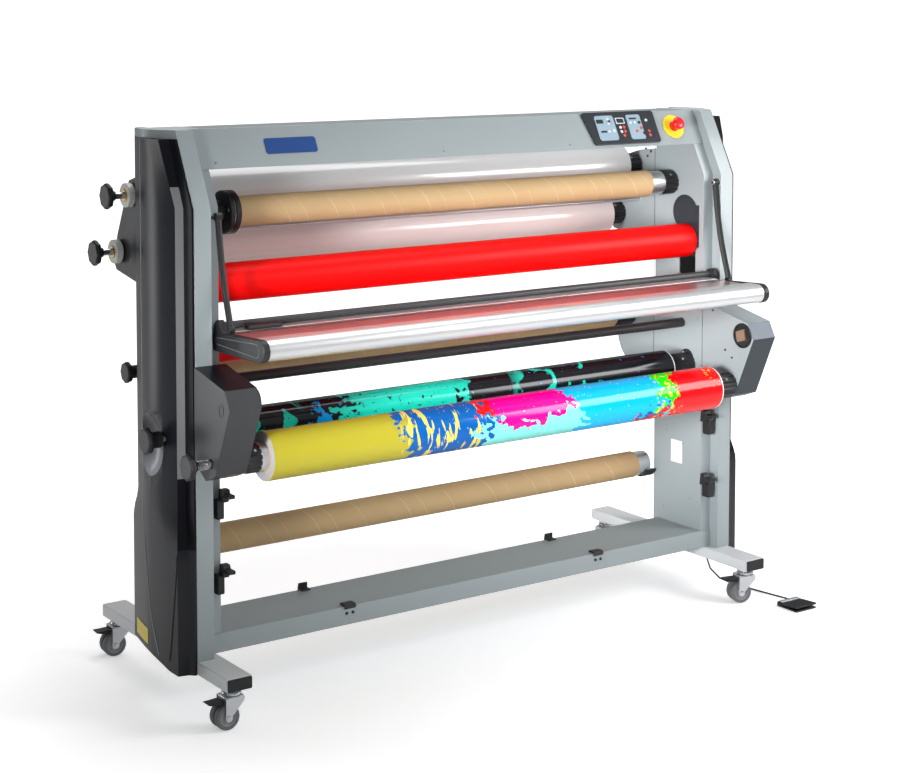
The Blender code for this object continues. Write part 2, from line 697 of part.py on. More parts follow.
def drive_chain():
    """Chain from the motor up to the bottom roller, as one closed loop."""
    rings = []
    for x in (-(SPROCKET_X - 0.004), -(SPROCKET_X + 0.004)):
        for radius in (SPROCKET_RADIUS + RUNNING, SPROCKET_RADIUS + 0.0075):
            upper = arc((ROLLER_Y, BOTTOM_ROLLER_Z), radius, 0, 180, 12)
            lower = arc((ROLLER_Y, MOTOR_AXIS_Z), radius, 180, 360, 12)
            rings.append([(x, y, z) for y, z in upper + lower])
    order = [rings[0], rings[1], rings[3], rings[2]]
    return finish(loft(order, closed=True), "drive_chain", (0.25, 0.24, 0.23), 0.4, 0.8)


def foot_pedal():
    """Floor pedal with its tread plate and cable."""
    floor = FLOOR_Z
    x_range = (0.950, 1.034)
    base = block(x_range, (-0.290, -0.206), (floor, floor + 0.005))
    rear_bar = block(x_range, (-0.2250, -0.206), (floor, floor + 0.0140))
    finish(fuse("pedal_base", [base, rear_bar]), "pedal_base", PLASTIC_BLACK, 0.6)
    hinge = (-0.2275, floor + 0.0105)
    outline = [(-0.290, 0.0115), (-0.228, 0.0070), (-0.2255, 0.0085)]
    outline += [(-0.2255, 0.0125), (-0.228, 0.0140), (-0.290, 0.0175)]
    tread = prism([(y, floor + z) for y, z in outline], x_range)
    finish(tread, "pedal_plate", PLASTIC_BLACK, 0.6, 0.0, (sum(x_range) / 2, *hinge))
    low = floor + 0.004
    path = [(1.012, -0.2055, low + 0.004), (1.012, -0.180, low + 0.002), (1.010, -0.130, low)]
    path += [(0.998, -0.050, low), (0.985, 0.020, low), (0.980, 0.080, low + 0.006)]
    path += [(0.976, 0.120, 0.045), (0.974, 0.140, 0.085)]
    path.append((0.973, 0.146, 0.1375))
    finish(tube_along(path, 0.0028, 8), "pedal_cable", PLASTIC_BLACK, 0.6)


# --- Assembly -----------------------------------------------------------------------------

def build_frame():
    for word, side in both_sides():
        side_frame(word + "_side_frame", side)
        foot(word + "_foot", side)
        side_cover(word + "_cover", side)
        upper_rear_bracket(word + "_upper_rear_bracket", side)
        lower_rear_arm(word + "_lower_rear_arm", side)
        front_arm(word + "_front_arm", side)
    bottom_stretcher()
    top_beam()


def build_rollers():
    nip_roller("top_roller", TOP_ROLLER_Z, False)
    nip_roller("bottom_roller", BOTTOM_ROLLER_Z, True)
    for word, side in both_sides():
        lift_block(word + "_lift_block", side)
    roll_on_chucks("upper_film_roll", UPPER_FILM, 0.072, (-0.800, 0.776), (0.75, 0.75, 0.75), 0.2)
    roll_on_chucks("lower_film_roll", LOWER_FILM, 0.068, (-0.800, 0.778), (0.75, 0.73, 0.73), 0.2)
    roll_on_chucks("rear_core", REAR_CORE, CORE_RADIUS, (-0.795, 0.766), CARDBOARD, 0.8)
    bore = MANDREL_RADIUS + CLEARANCE
    tube("liner_core", LINER, CORE_RADIUS, bore, (-0.742, 0.744), CARDBOARD, 0.8)
    mandrel("liner_mandrel", LINER, (-0.800, 0.797), left_disc=(-0.743, 0.060))
    tube("rear_print_roll", REAR_PRINT, 0.054, bore, (-0.780, 0.752), (0.02, 0.02, 0.03), 0.2)
    mandrel("rear_print_mandrel", REAR_PRINT, (-0.800, 0.764))
    tube("front_print_roll", FRONT_PRINT, 0.0654, bore, (-0.793, 0.769), (0.55, 0.50, 0.05), 0.2)
    mandrel("front_print_mandrel", FRONT_PRINT, (-0.800, 0.781))
    stored_core()
    for name, axis, radius in (("guide_rod", GUIDE_ROD, 0.0145), ("film_idler", FILM_IDLER, 0.006)):
        half = PLATE_X - CLEARANCE
        item = drum((-half, half), axis, radius, 20)
        finish(item, name, PLASTIC_BLACK if radius > 0.01 else ALUMINIUM, 0.15, 0.6, (0.0, *axis))


def build_knobs():
    knob("upper_film_knob", -1.024, UPPER_FILM, -0.8735)
    knob("lower_film_knob", -1.025, LOWER_FILM, -0.8735)
    knob("rear_core_knob", -0.960, REAR_CORE, -0.8735, 0.030)
    knob("rear_print_knob", -1.040, REAR_PRINT, -0.8670)
    knob("front_print_knob", -1.016, FRONT_PRINT, -0.8670)


def build_table():
    table_panel()
    for word, side in both_sides():
        table_arm("table_arm_" + word, side)
    beside = TABLE_ARM_OUT + CLEARANCE
    stay("table_stay_left", -1, 0.8635, (0.8560, 0.8710), 1.0260)
    stay("table_stay_right", 1, 0.8825, (beside, beside + 0.016), 1.012)


def build_castors():
    castor("front_left_castor", -CASTOR_X, FRONT_CASTOR_Y, 180)
    castor("front_right_castor", CASTOR_X, FRONT_CASTOR_Y, 160)
    castor("rear_left_castor", -CASTOR_X, REAR_CASTOR_Y, 175)
    castor("rear_right_castor", CASTOR_X, REAR_CASTOR_Y, 200)


def centre_on_footprint():
    """Parent every piece to one empty and put the footprint's centre on the origin."""
    bpy.context.view_layer.update()
    pieces = [item for item in bpy.context.scene.objects if item.type == "MESH"]
    corners = [item.matrix_world @ Vector(corner) for item in pieces for corner in item.bound_box]
    low = [min(corner[i] for corner in corners) for i in range(3)]
    high = [max(corner[i] for corner in corners) for i in range(3)]
    machine = bpy.data.objects.new("laminator", None)
    bpy.context.scene.collection.objects.link(machine)
    for item in pieces:
        item.parent = machine
    machine.location = (-(low[0] + high[0]) / 2, -(low[1] + high[1]) / 2, -low[2])


def main():
    clear_scene()
    build_frame()
    build_rollers()
    build_knobs()
    build_table()
    control_panel()
    stop_button()
    build_castors()
    drive_motor()
    motor_sprocket()
    drive_chain()
    foot_pedal()
    centre_on_footprint()


main()
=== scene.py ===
import json
import math

import bmesh
import bpy
from mathutils import Matrix, Vector

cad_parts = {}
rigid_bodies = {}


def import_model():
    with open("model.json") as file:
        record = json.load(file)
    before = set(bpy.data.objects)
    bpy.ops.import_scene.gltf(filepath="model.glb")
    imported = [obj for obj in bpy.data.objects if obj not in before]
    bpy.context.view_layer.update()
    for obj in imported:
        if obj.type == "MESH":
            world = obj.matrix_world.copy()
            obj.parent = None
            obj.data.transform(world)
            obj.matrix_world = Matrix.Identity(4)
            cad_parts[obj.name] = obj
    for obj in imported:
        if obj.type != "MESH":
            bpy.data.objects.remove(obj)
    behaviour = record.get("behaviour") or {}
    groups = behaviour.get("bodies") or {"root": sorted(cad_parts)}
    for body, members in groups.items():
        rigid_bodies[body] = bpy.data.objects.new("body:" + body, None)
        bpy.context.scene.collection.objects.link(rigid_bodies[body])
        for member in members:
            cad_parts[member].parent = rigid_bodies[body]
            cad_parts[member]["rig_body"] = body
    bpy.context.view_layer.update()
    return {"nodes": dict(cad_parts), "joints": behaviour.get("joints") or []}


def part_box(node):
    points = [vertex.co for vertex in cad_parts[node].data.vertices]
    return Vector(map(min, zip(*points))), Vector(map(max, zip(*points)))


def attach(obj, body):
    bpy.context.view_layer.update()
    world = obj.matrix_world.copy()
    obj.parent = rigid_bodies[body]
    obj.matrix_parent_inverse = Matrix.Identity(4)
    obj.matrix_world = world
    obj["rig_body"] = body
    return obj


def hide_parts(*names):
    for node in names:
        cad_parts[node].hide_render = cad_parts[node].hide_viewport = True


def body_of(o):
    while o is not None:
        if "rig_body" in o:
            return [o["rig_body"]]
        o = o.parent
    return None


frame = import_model()

# Everything below is laid out in the machine's own frame: X = 0 is the mid-plane, Y = 0 the front
# face of the uprights, and Z = 0 a level FOOT_BASE under the feet.  ORIGIN moves it to the row frame.
FOOT_BASE = 0.119       # underside of the feet
BEAM_FACE = 0.0325      # Y of the beam's front face at BEND_Z
BEND_Z = 1.336          # height above which the uprights lean back
LEAN = 0.508            # how far they lean for each unit of height
PLATE_X = 0.853         # inner face of the right side plate
CARD_RADIUS = 0.0414    # all the empty cores
TUBE_RADIUS = 0.0374    # all the mandrels
CHUCK_RADIUS = 0.0385
SPAN_END = 0.8525       # end of whatever reaches from plate to plate
SHARP = 32              # degrees between two faces that makes an edge
SIDES = (("left", -1), ("right", 1))
left_plate, right_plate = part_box("left_side_frame"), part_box("right_side_frame")
foot_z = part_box("right_foot")[0].z
ORIGIN = Vector(((left_plate[0].x + right_plate[1].x) / 2, right_plate[0].y, foot_z - FOOT_BASE))
JOINTS = {joint["name"]: joint for joint in frame["joints"]}


def axis_of(joint):
    """(y, z) of a joint's axis in the machine's frame."""
    point = Vector(JOINTS[joint]["pos_m"]) - ORIGIN
    return point.y, point.z


UPPER_FILM = axis_of("upper_film_roll_spin")
LOWER_FILM = axis_of("lower_film_roll_spin")
LINER = axis_of("liner_roll_spin")
REAR_CORE = axis_of("rear_core_spin")
REAR_PRINT = axis_of("rear_print_spin")
FRONT_PRINT = axis_of("front_print_spin")
TOP_ROLLER = axis_of("top_roller_spin")
BOTTOM_ROLLER = axis_of("bottom_roller_spin")
STAY_TOP = axis_of("table_swing")
STORED_CORE = (0.286, 0.381)
TABLE_NOSE = (-0.207, 0.9935)
TABLE_BAR = (0.01, 1.028)
SCOOP_Z = REAR_PRINT[1] - 0.027


# --- Materials ------------------------------------------------------------------------------------

class Shader:
    """Node material with a Principled BSDF and short helpers for adding nodes."""

    def __init__(self, name, roughness=0.5, metallic=0.0, coat=0.0, specular=0.5):
        self.material = bpy.data.materials.new(name)
        self.material.use_nodes = True
        self.tree = self.material.node_tree
        self.main = self.tree.nodes["Principled BSDF"]
        self.main.inputs["Roughness"].default_value = roughness
        self.main.inputs["Metallic"].default_value = metallic
        self.main.inputs["Coat Weight"].default_value = coat
        self.main.inputs["Coat Roughness"].default_value = 0.04
        self.main.inputs["Specular IOR Level"].default_value = specular
        self.where = self.add("ShaderNodeTexCoord").outputs["Object"]
        self.tone = (0.0, 0.0, 0.0)

    def add(self, kind, values=None, **settings):
        node = self.tree.nodes.new(kind)
        for key, value in settings.items():
            setattr(node, key, value)
        for key, value in (values or {}).items():
            if isinstance(value, bpy.types.NodeSocket):
                self.tree.links.new(value, node.inputs[key])
            else:
                node.inputs[key].default_value = value
        return node

    def set(self, name, value):
        if isinstance(value, bpy.types.NodeSocket):
            self.tree.links.new(value, self.main.inputs[name])
        else:
            self.main.inputs[name].default_value = value

    def math(self, operation, a, b=0.0):
        return self.add("ShaderNodeMath", {0: a, 1: b}, operation=operation).outputs[0]

    def moved(self, stretch=(1, 1, 1), shift=(0, 0, 0)):
        values = {"Vector": self.where, "Scale": stretch, "Location": shift}
        return self.add("ShaderNodeMapping", values).outputs["Vector"]

    def noise(self, scale, detail=2.0, stretch=(1, 1, 1), shift=(0, 0, 0), distortion=0.0):
        values = {"Vector": self.moved(stretch, shift), "Scale": scale, "Detail": detail,
                  "Distortion": distortion}
        return self.add("ShaderNodeTexNoise", values).outputs["Fac"]

    def above(self, value, edge, width=0.01):
        """0 below edge, 1 above it, changing over width."""
        values = {"Value": value, "From Min": edge - width, "From Max": edge + width}
        return self.add("ShaderNodeMapRange", values).outputs["Result"]

    def below(self, value, edge, width=0.01):
        return self.above(self.less(edge, value), 0.0, width)

    def between(self, value, low, high, width=0.002):
        return self.times(self.above(value, low, width), self.less(1.0, self.above(value, high, width)))

    def total(self, *terms):
        """Sum of (value, weight) terms."""
        result = 0.0
        for value, weight in terms:
            result = self.math("ADD", result, self.times(value, weight))
        return result

    def times(self, a, b):
        return self.math("MULTIPLY", a, b)

    def less(self, a, b):
        return self.math("SUBTRACT", a, b)

    def mix(self, factor, a, b):
        node = self.add("ShaderNodeMix", data_type="RGBA")
        for socket, value in ((node.inputs[0], factor), (node.inputs[6], a), (node.inputs[7], b)):
            if isinstance(value, bpy.types.NodeSocket):
                self.tree.links.new(value, socket)
            else:
                socket.default_value = (*value, 1.0) if isinstance(value, tuple) else value
        return node.outputs[2]

    def paint(self, colour, mask, *more):
        """Lay a colour over the tone so far, where every mask is 1."""
        for other in more:
            mask = self.times(mask, other)
        self.tone = self.mix(mask, self.tone, colour)

    def split(self):
        return self.add("ShaderNodeSeparateXYZ", {0: self.where}).outputs

    def bump(self, height, strength, distance=0.001):
        values = {"Height": height, "Strength": strength, "Distance": distance}
        self.set("Normal", self.add("ShaderNodeBump", values).outputs["Normal"])


def surface(name, colour, roughness=0.4, metallic=0.0, coat=0.0, grain=900.0, depth=0.1, vary=0.06,
            spread=0.08, stretch=(1, 1, 1), specular=0.5):
    """Painted, moulded or metal finish with fine grain and slow changes of tone and gloss."""
    made = Shader(name, roughness, metallic, coat, specular)
    slow = made.noise(5.0, 3.0)
    fine = made.noise(grain, 2.0, stretch)
    dark = tuple(c * (1 - vary) for c in colour)
    light = tuple(min(1.0, c * (1 + vary)) for c in colour)
    tone = made.mix(slow, dark, light)
    made.set("Base Color", made.mix(made.times(fine, 0.12), tone, tuple(c * 0.55 for c in colour)))
    values = {"Value": made.math("ADD", made.times(slow, 0.6), made.times(fine, 0.4)),
              "To Min": max(0.02, roughness - spread), "To Max": roughness + spread}
    made.set("Roughness", made.add("ShaderNodeMapRange", values).outputs["Result"])
    made.bump(fine, depth)
    return made.material


def cardboard(name, axis):
    """Spiral wound board: pale seams run round the tube in a long helix."""
    made = Shader(name, 0.75, specular=0.3)
    x, y, z = made.split()
    angle = made.math("ARCTAN2", made.less(y, axis[0] + ORIGIN.y), made.less(z, axis[1] + ORIGIN.z))
    phase = made.math("FRACT", made.total((angle, 1 / (2 * math.pi)), (x, 6.4)))
    wide, thin = made.between(phase, 0.01, 0.022, 0.004), made.between(phase, 0.38, 0.388, 0.004)
    seam = made.times(made.math("MAXIMUM", wide, thin), made.above(made.noise(14.0, 3.0), 0.46, 0.08))
    fibre = made.noise(60.0, 6.0, (1, 6, 6))
    blotch = made.noise(7.0, 4.0)
    base = made.mix(blotch, (0.47, 0.32, 0.16), (0.55, 0.39, 0.215))
    base = made.mix(made.times(fibre, 0.3), base, (0.48, 0.31, 0.14))
    made.set("Base Color", made.mix(made.times(seam, 0.45), base, (0.86, 0.72, 0.5)))
    made.bump(made.less(fibre, seam), 0.25, 0.0006)
    return made.material


def along_roll(made, axis, wander, tear):
    """X from the middle and height over the axis, and both again with wandering, torn edges."""
    per_radius = 15.0
    x, _, z = made.split()
    x = made.less(x, ORIGIN.x)
    high = made.times(made.less(z, axis[1] + ORIGIN.z), per_radius)
    coarse = made.less(made.noise(9.0, 3.0, (1, 1, 1), (3.1, 0, 0), 0.3), 0.5)
    torn = made.less(made.noise(42.0, 7.0, (0.8, 1.2, 1.2), (0, 4.2, 0), 0.4), 0.5)
    place = made.total((x, 1.0), (coarse, wander), (torn, tear))
    level = made.total((high, 1.0), (coarse, 2.4), (torn, 2.2))
    return x, high, place, level


def finish_print(made, x, margin):
    """White paper beyond the margin, and the slow waves of a wound sheet."""
    made.paint((0.85, 0.85, 0.84), made.above(x, margin, 0.0005))
    made.set("Base Color", made.tone)
    made.bump(made.noise(3.0, 1.0, (0.3, 6, 6)), 0.05)
    return made.material


def bright_print():
    """Abstract print: blocks of colour along the roll whose edges are torn and splashed."""
    made = Shader("bright_print", 0.16, 0.0, 0.0, 0.28)
    x, high, place, level = along_roll(made, FRONT_PRINT, 0.34, 0.22)
    yellow, blue, straw = (0.4, 0.35, 0.026), (0.0, 0.095, 0.36), (0.7, 0.6, 0.1)
    red, pink, mint = (0.8, 0.003, 0.006), (0.8, 0.0, 0.25), (0.2, 0.7, 0.64)
    sky, lime, amber = (0.0, 0.43, 0.8), (0.01, 0.76, 0.01), (0.8, 0.52, 0.04)
    made.tone = yellow
    made.paint(blue, made.above(place, -0.42, 0.002))
    streaks = made.noise(26.0, 5.0, (2.2, 0.5, 0.5), (1.0, 7.0, 2.0), 0.4)
    made.paint(straw, made.above(streaks, 0.545, 0.006), made.between(x, -0.4, -0.13, 0.01))
    made.paint(mint, made.between(place, -0.17, 0.19), made.below(level, 0.1, 0.02))
    made.paint(pink, made.between(place, -0.09, 0.2), made.above(level, 0.1, 0.02))
    made.paint(red, made.between(place, -0.15, -0.08), made.above(level, 0.35, 0.02))
    made.paint(sky, made.above(place, 0.185, 0.002))
    made.paint(blue, made.between(place, 0.44, 0.56), made.below(level, -0.3, 0.02))
    made.paint(lime, made.between(place, 0.535, 0.63), made.above(level, -0.35, 0.02))
    foot = made.times(made.above(place, 0.43, 0.002), made.below(level, -0.55, 0.02))
    made.paint(red, made.math("MAXIMUM", made.above(place, 0.61, 0.002), foot))
    spots = made.noise(64.0, 4.0, (1, 1, 1), (7.0, 1.0, 2.0), 0.8)
    end = made.times(made.between(x, 0.715, 0.75, 0.01), made.above(high, 0.35, 0.1))
    near = made.math("MAXIMUM", made.between(x, 0.5, 0.6, 0.01), end)
    made.paint(amber, made.above(spots, 0.6, 0.01), near)
    flecks = made.noise(120.0, 2.0, (1, 1, 1), (2.0, 6.0, 3.0), 0.6)
    made.paint(straw, made.above(flecks, 0.725, 0.01), made.between(x, -0.3, 0.5, 0.03))
    made.set("Roughness", made.math("ADD", 0.09, made.times(made.noise(9.0), 0.08)))
    return finish_print(made, x, 0.7645)


def dark_print():
    """Black print with teal and blue patches and small splashes."""
    made = Shader("dark_print", 0.14, 0.0, 0.0, 0.34)
    x, _, place, level = along_roll(made, REAR_PRINT, 0.3, 0.16)
    black, teal, blue = (0.006, 0.008, 0.011), (0.008, 0.56, 0.42), (0.0, 0.3, 0.74)
    made.tone = black
    made.paint(teal, made.between(place, -0.43, -0.05))
    made.paint(blue, made.between(place, -0.56, -0.46), made.below(level, 0.6, 0.02))
    splash = made.noise(13.0, 5.0, (1, 1, 1), (9.0, 2.0, 4.0), 1.0)
    there = made.math("MAXIMUM", made.between(x, 0.14, 0.44, 0.03), made.between(x, -0.74, -0.6, 0.02))
    made.paint(teal, made.above(splash, 0.555, 0.006), there)
    specks = made.noise(80.0, 3.0, (1, 1, 1), (1.0, 8.0, 3.0), 0.5)
    made.paint(black, made.above(specks, 0.66, 0.01))
    drops = made.noise(60.0, 3.0, (1, 1, 1), (5.0, 3.0, 1.0), 0.5)
    made.paint(blue, made.above(drops, 0.71, 0.01))
    return finish_print(made, x, 0.7475)


def brushed(name, colour, along, roughness=0.28):
    """Metal with fine lines along one direction: 'x' along the piece, 'round' across it."""
    stretch = (0.02, 1, 1) if along == "x" else (1, 0.03, 0.03)
    return surface(name, colour, roughness, 0.95, 0.0, 700.0, 0.12, 0.05, 0.07, stretch)


def film(name, colour):
    """Clear film wound on a core: milky, glossy, with faint tension marks, and a faint glow in its own colour
    as painted light.
    """
    made = Shader(name, 0.16, 0.0, 0.5)
    marks = made.noise(2.0, 2.0, (1.0, 14, 14))
    made.set("Base Color", made.mix(marks, tuple(c * 0.95 for c in colour), colour))
    made.set("Roughness", made.math("ADD", 0.12, made.times(marks, 0.12)))
    # Painted light: the film glows faintly in its own colour.
    made.set("Emission Color", (*colour, 1.0))
    made.set("Emission Strength", 0.06)
    made.bump(marks, 0.06, 0.002)
    return made.material


def scoop_painted_highlight_tone():
    """Moulded black with a painted highlight: paler towards the foot of the scoop."""
    made = Shader("scoop_plastic", 0.28, 0.0, 0.2)
    z = made.less(made.split()[2], ORIGIN.z)
    fine = made.noise(1300.0)
    # Painted highlight: the tone is paler below the middle of the scoop.
    tone = made.less(1.0, made.above(z, SCOOP_Z - 0.018, 0.055))
    made.set("Base Color", made.mix(made.times(tone, tone), (0.02, 0.022, 0.027), (0.42, 0.44, 0.47)))
    made.bump(fine, 0.05)
    return made.material


GREY = surface("grey_paint", (0.285, 0.325, 0.338), 0.36, 0.0, 0.08, 1100.0, 0.07, 0.03)
# Paler copy of the frame grey for upward faces: painted light from above.
TOP_LIT_GREY = surface("cap_grey", (0.57, 0.59, 0.6), 0.4, 0.0, 0.1, 1100.0, 0.07, 0.03)
# Paler copy of the frame grey on the feet: painted light on them.
FOOT = surface("foot_paint", (0.66, 0.69, 0.705), 0.36, 0.0, 0.1, 1100.0, 0.07, 0.03)
DARK = surface("dark_paint", (0.036, 0.037, 0.039), 0.36, 0.0, 0.0, 1100.0, 0.06, 0.1, specular=0.3)
SLATE = surface("slate_paint", (0.026, 0.034, 0.043), 0.38, 0.0, 0.0, 1100.0, 0.06, 0.06, specular=0.3)
# Paler copy of the slate for the arm face that leans up: painted light.
SLATE_LIT = surface("slate_pale", (0.115, 0.14, 0.17), 0.38, 0.0, 0.0, 1100.0, 0.06, 0.06, specular=0.3)
# Satin black of the covers; it is also laid on the left arm's top faces as painted shade.
COVER = surface("cover_plastic", (0.0075, 0.0085, 0.0125), 0.3, 0.0, 0.0, 1300.0, 0.05, 0.12, specular=0.3)
# Deeper black for the cover's front edge and the rest of the groove: painted shade.
FRONT_SHADE_BLACK = surface("cover_edge", (0.003, 0.0035, 0.006), 0.42, 0.0, 0.0, 1300.0, 0.05, 0.12, specular=0.14)
# Paler grey on the groove beside the upright: painted reflection of the lights.
GROOVE_REFLECTION = surface("cover_groove", (0.2, 0.205, 0.21), 0.34, 0.0, 0.0, 1300.0, 0.05, 0.08, specular=0.35)
BLACK = surface("black_plastic", (0.013, 0.0135, 0.015), 0.42, 0.0, 0.0, 1500.0, 0.18, 0.12, specular=0.35)
# Bright trim for the pedal bar; also the cover seam's bright line, a painted highlight.
TRIM_AND_SEAM_HIGHLIGHT = surface("bright_seam", (0.4, 0.44, 0.47), 0.25, 0.4, 0.0, 900.0, 0.05, 0.05)
RED = surface("red_silicone", (0.9, 0.0, 0.0), 0.42, 0.0, 0.0, 600.0, 0.05, 0.03, specular=0.16)
STEEL = brushed("turned_steel", (0.5, 0.51, 0.53), "round", 0.25)
ALU = brushed("turned_aluminium", (0.72, 0.73, 0.75), "round", 0.3)
NOSE = brushed("extruded_aluminium", (0.76, 0.765, 0.775), "x", 0.38)
# Pinkish tint of the table sheet: painted reflection of the red roller.
PLATE = surface("polished_plate", (0.7, 0.52, 0.51), 0.28, 0.95, 0.0, 700.0, 0.02, 0.03, 0.02, (0.02, 1, 1))
ZINC = surface("zinc_plate", (0.62, 0.64, 0.67), 0.24, 0.9, 0.0, 160.0, 0.1, 0.08, 0.08)
OIL = surface("oiled_steel", (0.16, 0.155, 0.15), 0.35, 0.8, 0.0, 300.0, 0.2, 0.2)
TYRE = surface("grey_rubber", (0.15, 0.154, 0.16), 0.55, 0.0, 0.0, 800.0, 0.2, 0.1, specular=0.3)
HUB = surface("hub_plastic", (0.3, 0.31, 0.32), 0.4, 0.0, 0.0, 900.0, 0.1, 0.06)
NYLON = surface("white_nylon", (0.72, 0.71, 0.67), 0.42, 0.0, 0.1, 900.0, 0.08, 0.04)
BRASS = surface("brass", (0.6, 0.42, 0.14), 0.25, 0.95, 0.0, 500.0, 0.06, 0.08)
FACE = surface("knob_face", (0.036, 0.038, 0.041), 0.48, 0.0, 0.0, 1200.0, 0.1, 0.05)
# Paler grey for the oval ring on the table arms: painted highlight in the groove.
ARM_RING_HIGHLIGHT = surface("arm_ring", (0.1, 0.105, 0.11), 0.36, 0.0, 0.0, 1200.0, 0.1, 0.05)
BUTTON = surface("button_red", (0.78, 0.002, 0.01), 0.24, 0.0, 0.3, 900.0, 0.04, 0.05)
YELLOW = surface("disc_yellow", (0.8, 0.62, 0.012), 0.38, 0.0, 0.1, 900.0, 0.05, 0.04)
BEZEL = surface("panel_bezel", (0.018, 0.023, 0.03), 0.32, 0.0, 0.1, 1200.0, 0.06, 0.08, specular=0.35)
KEYPAD = surface("keypad_foil", (0.27, 0.37, 0.45), 0.4, 0.0, 0.0, 1200.0, 0.06, 0.04)
GLASS = surface("display_glass", (0.02, 0.026, 0.03), 0.12, 0.0, 0.4, 900.0, 0.01, 0.05)
KEY = surface("key_light", (0.58, 0.62, 0.66), 0.35, 0.0, 0.1, 900.0, 0.06, 0.04)
KEY_RED = surface("key_red", (0.62, 0.06, 0.05), 0.35, 0.0, 0.1, 900.0, 0.06, 0.04)
PAPER = surface("blank_label", (0.8, 0.81, 0.8), 0.5, 0.0, 0.0, 500.0, 0.05, 0.02)
# Grey for the ends of the print rolls: painted shade on the white paper.
PAPER_END_SHADE = surface("paper_edge", (0.33, 0.32, 0.33), 0.55, 0.0, 0.0, 500.0, 0.1, 0.06, specular=0.3)
TAN = surface("socket_core", (0.26, 0.17, 0.11), 0.45, 0.2, 0.0, 500.0, 0.1, 0.15)
BADGE = surface("badge_plate", (0.01, 0.06, 0.25), 0.3, 0.2, 0.1)
SCOOP = scoop_painted_highlight_tone()
CLEAR_UPPER = film("film_upper", (0.58, 0.58, 0.59))
# Pink tint on the lower film: painted reflection of the red roller.
CLEAR_LOWER_RED_REFLECTION = film("film_lower", (0.76, 0.68, 0.67))
BRIGHT = bright_print()
DARKPRINT = dark_print()


# --- Mesh helpers ---------------------------------------------------------------------------------

def link(name, mesh, sharp=SHARP):
    mesh.shade_smooth()
    mesh.set_sharp_from_angle(angle=math.radians(sharp))
    piece = bpy.data.objects.new(name, mesh)
    bpy.context.scene.collection.objects.link(piece)
    return piece


def from_bmesh(name, shape, matrix=None, sharp=SHARP):
    bmesh.ops.recalc_face_normals(shape, faces=shape.faces)
    mesh = bpy.data.meshes.new(name)
    shape.to_mesh(mesh)
    shape.free()
    if matrix is not None:
        mesh.transform(matrix)
    mesh.transform(Matrix.Translation(ORIGIN))
    return link(name, mesh, sharp)


def loft(name, rings, closed=False, matrix=None, sharp=SHARP):
    """Skin rings of points; open ends get flat faces."""
    shape = bmesh.new()
    rows = [[shape.verts.new(point) for point in ring] for ring in rings]
    pairs = list(zip(rows, rows[1:]))
    if closed:
        pairs.append((rows[-1], rows[0]))
    else:
        shape.faces.new(rows[0])
        shape.faces.new(rows[-1])
    for lower, upper in pairs:
        for i in range(len(lower)):
            j = (i + 1) % len(lower)
            shape.faces.new((lower[i], lower[j], upper[j], upper[i]))
    return from_bmesh(name, shape, matrix, sharp)


def polar(centre, reach, angle):
    return centre[0] + reach * math.cos(angle), centre[1] + reach * math.sin(angle)


def ring_of(radius, steps):
    return [polar((0.0, 0.0), radius, 2 * math.pi * i / steps) for i in range(steps)]


def turned(profile, steps=64):
    """Rings round the Z axis from (z, radius) points."""
    return [[(a, b, z) for a, b in ring_of(radius, steps)] for z, radius in profile]


def arc(centre, radius, start, end, steps):
    return [polar(centre, radius, math.radians(start + (end - start) * i / steps)) for i in range(steps + 1)]


def lathe(name, profile, axis, steps=96, hollow=False):
    """Turn (x, radius) points round the X axis through axis."""
    rings = [[(x, axis[0] + a, axis[1] + b) for a, b in ring_of(radius, steps)] for x, radius in profile]
    return loft(name, rings, hollow)


def prism(name, outline, x0, x1, matrix=None):
    """Outline of (y, z) points carried along X."""
    return loft(name, [[(x, y, z) for y, z in outline] for x in (x0, x1)], False, matrix)


def slab(name, outline, z0, z1, matrix=None):
    """Outline of (x, y) points carried along Z."""
    return loft(name, [[(x, y, z) for x, y in outline] for z in (z0, z1)], False, matrix)


def rounded(width, height, radius, centre=(0.0, 0.0), steps=6):
    points = []
    for cx, cy, start in ((1, 1, 0), (-1, 1, 90), (-1, -1, 180), (1, -1, 270)):
        corner = (centre[0] + cx * (width / 2 - radius), centre[1] + cy * (height / 2 - radius))
        points += arc(corner, radius, start, start + 90, steps)
    return points


def box_outline(a0, a1, b0, b1):
    return [(a0, b0), (a1, b0), (a1, b1), (a0, b1)]


def tube(name, path, radius, steps=16):
    """Round bar through a list of points."""
    points = [Vector(p) for p in path]
    rings = []
    side = Vector((0.0, 0.0, 1.0))
    for i, point in enumerate(points):
        direction = (points[min(i + 1, len(points) - 1)] - points[max(i - 1, 0)]).normalized()
        if abs(direction.dot(side)) > 0.9:
            side = Vector((0.0, 1.0, 0.0))
        across = direction.cross(side).normalized()
        side = across.cross(direction).normalized()
        rings.append([point + across * a + side * b for a, b in ring_of(radius, steps)])
    return loft(name, rings)


def curve_through(points, steps=8):
    """Smooth path (Catmull-Rom) through points."""
    knots = [Vector(p) for p in points]
    knots = [knots[0] * 2 - knots[1]] + knots + [knots[-1] * 2 - knots[-2]]
    path = []
    for a, b, c, d in zip(knots, knots[1:], knots[2:], knots[3:]):
        for i in range(steps):
            t = i / steps
            bend = (2 * a - 5 * b + 4 * c - d) * t * t + (3 * b - a - 3 * c + d) * t ** 3
            path.append(0.5 * (2 * b + (c - a) * t + bend))
    path.append(knots[-2])
    return path


def soften(piece, width=0.001, segments=3, angle=SHARP):
    change = piece.modifiers.new("Bevel", "BEVEL")
    change.width = width
    change.segments = segments
    change.limit_method = "ANGLE"
    change.angle_limit = math.radians(angle)
    change.harden_normals = True
    return piece


def dress(piece, material, body="frame", *nodes):
    """Material and body of a piece; CAD nodes it is seen instead of are hidden."""
    piece.data.materials.clear()
    piece.data.materials.append(material)
    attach(piece, body)
    if nodes:
        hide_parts(*nodes)
    return piece


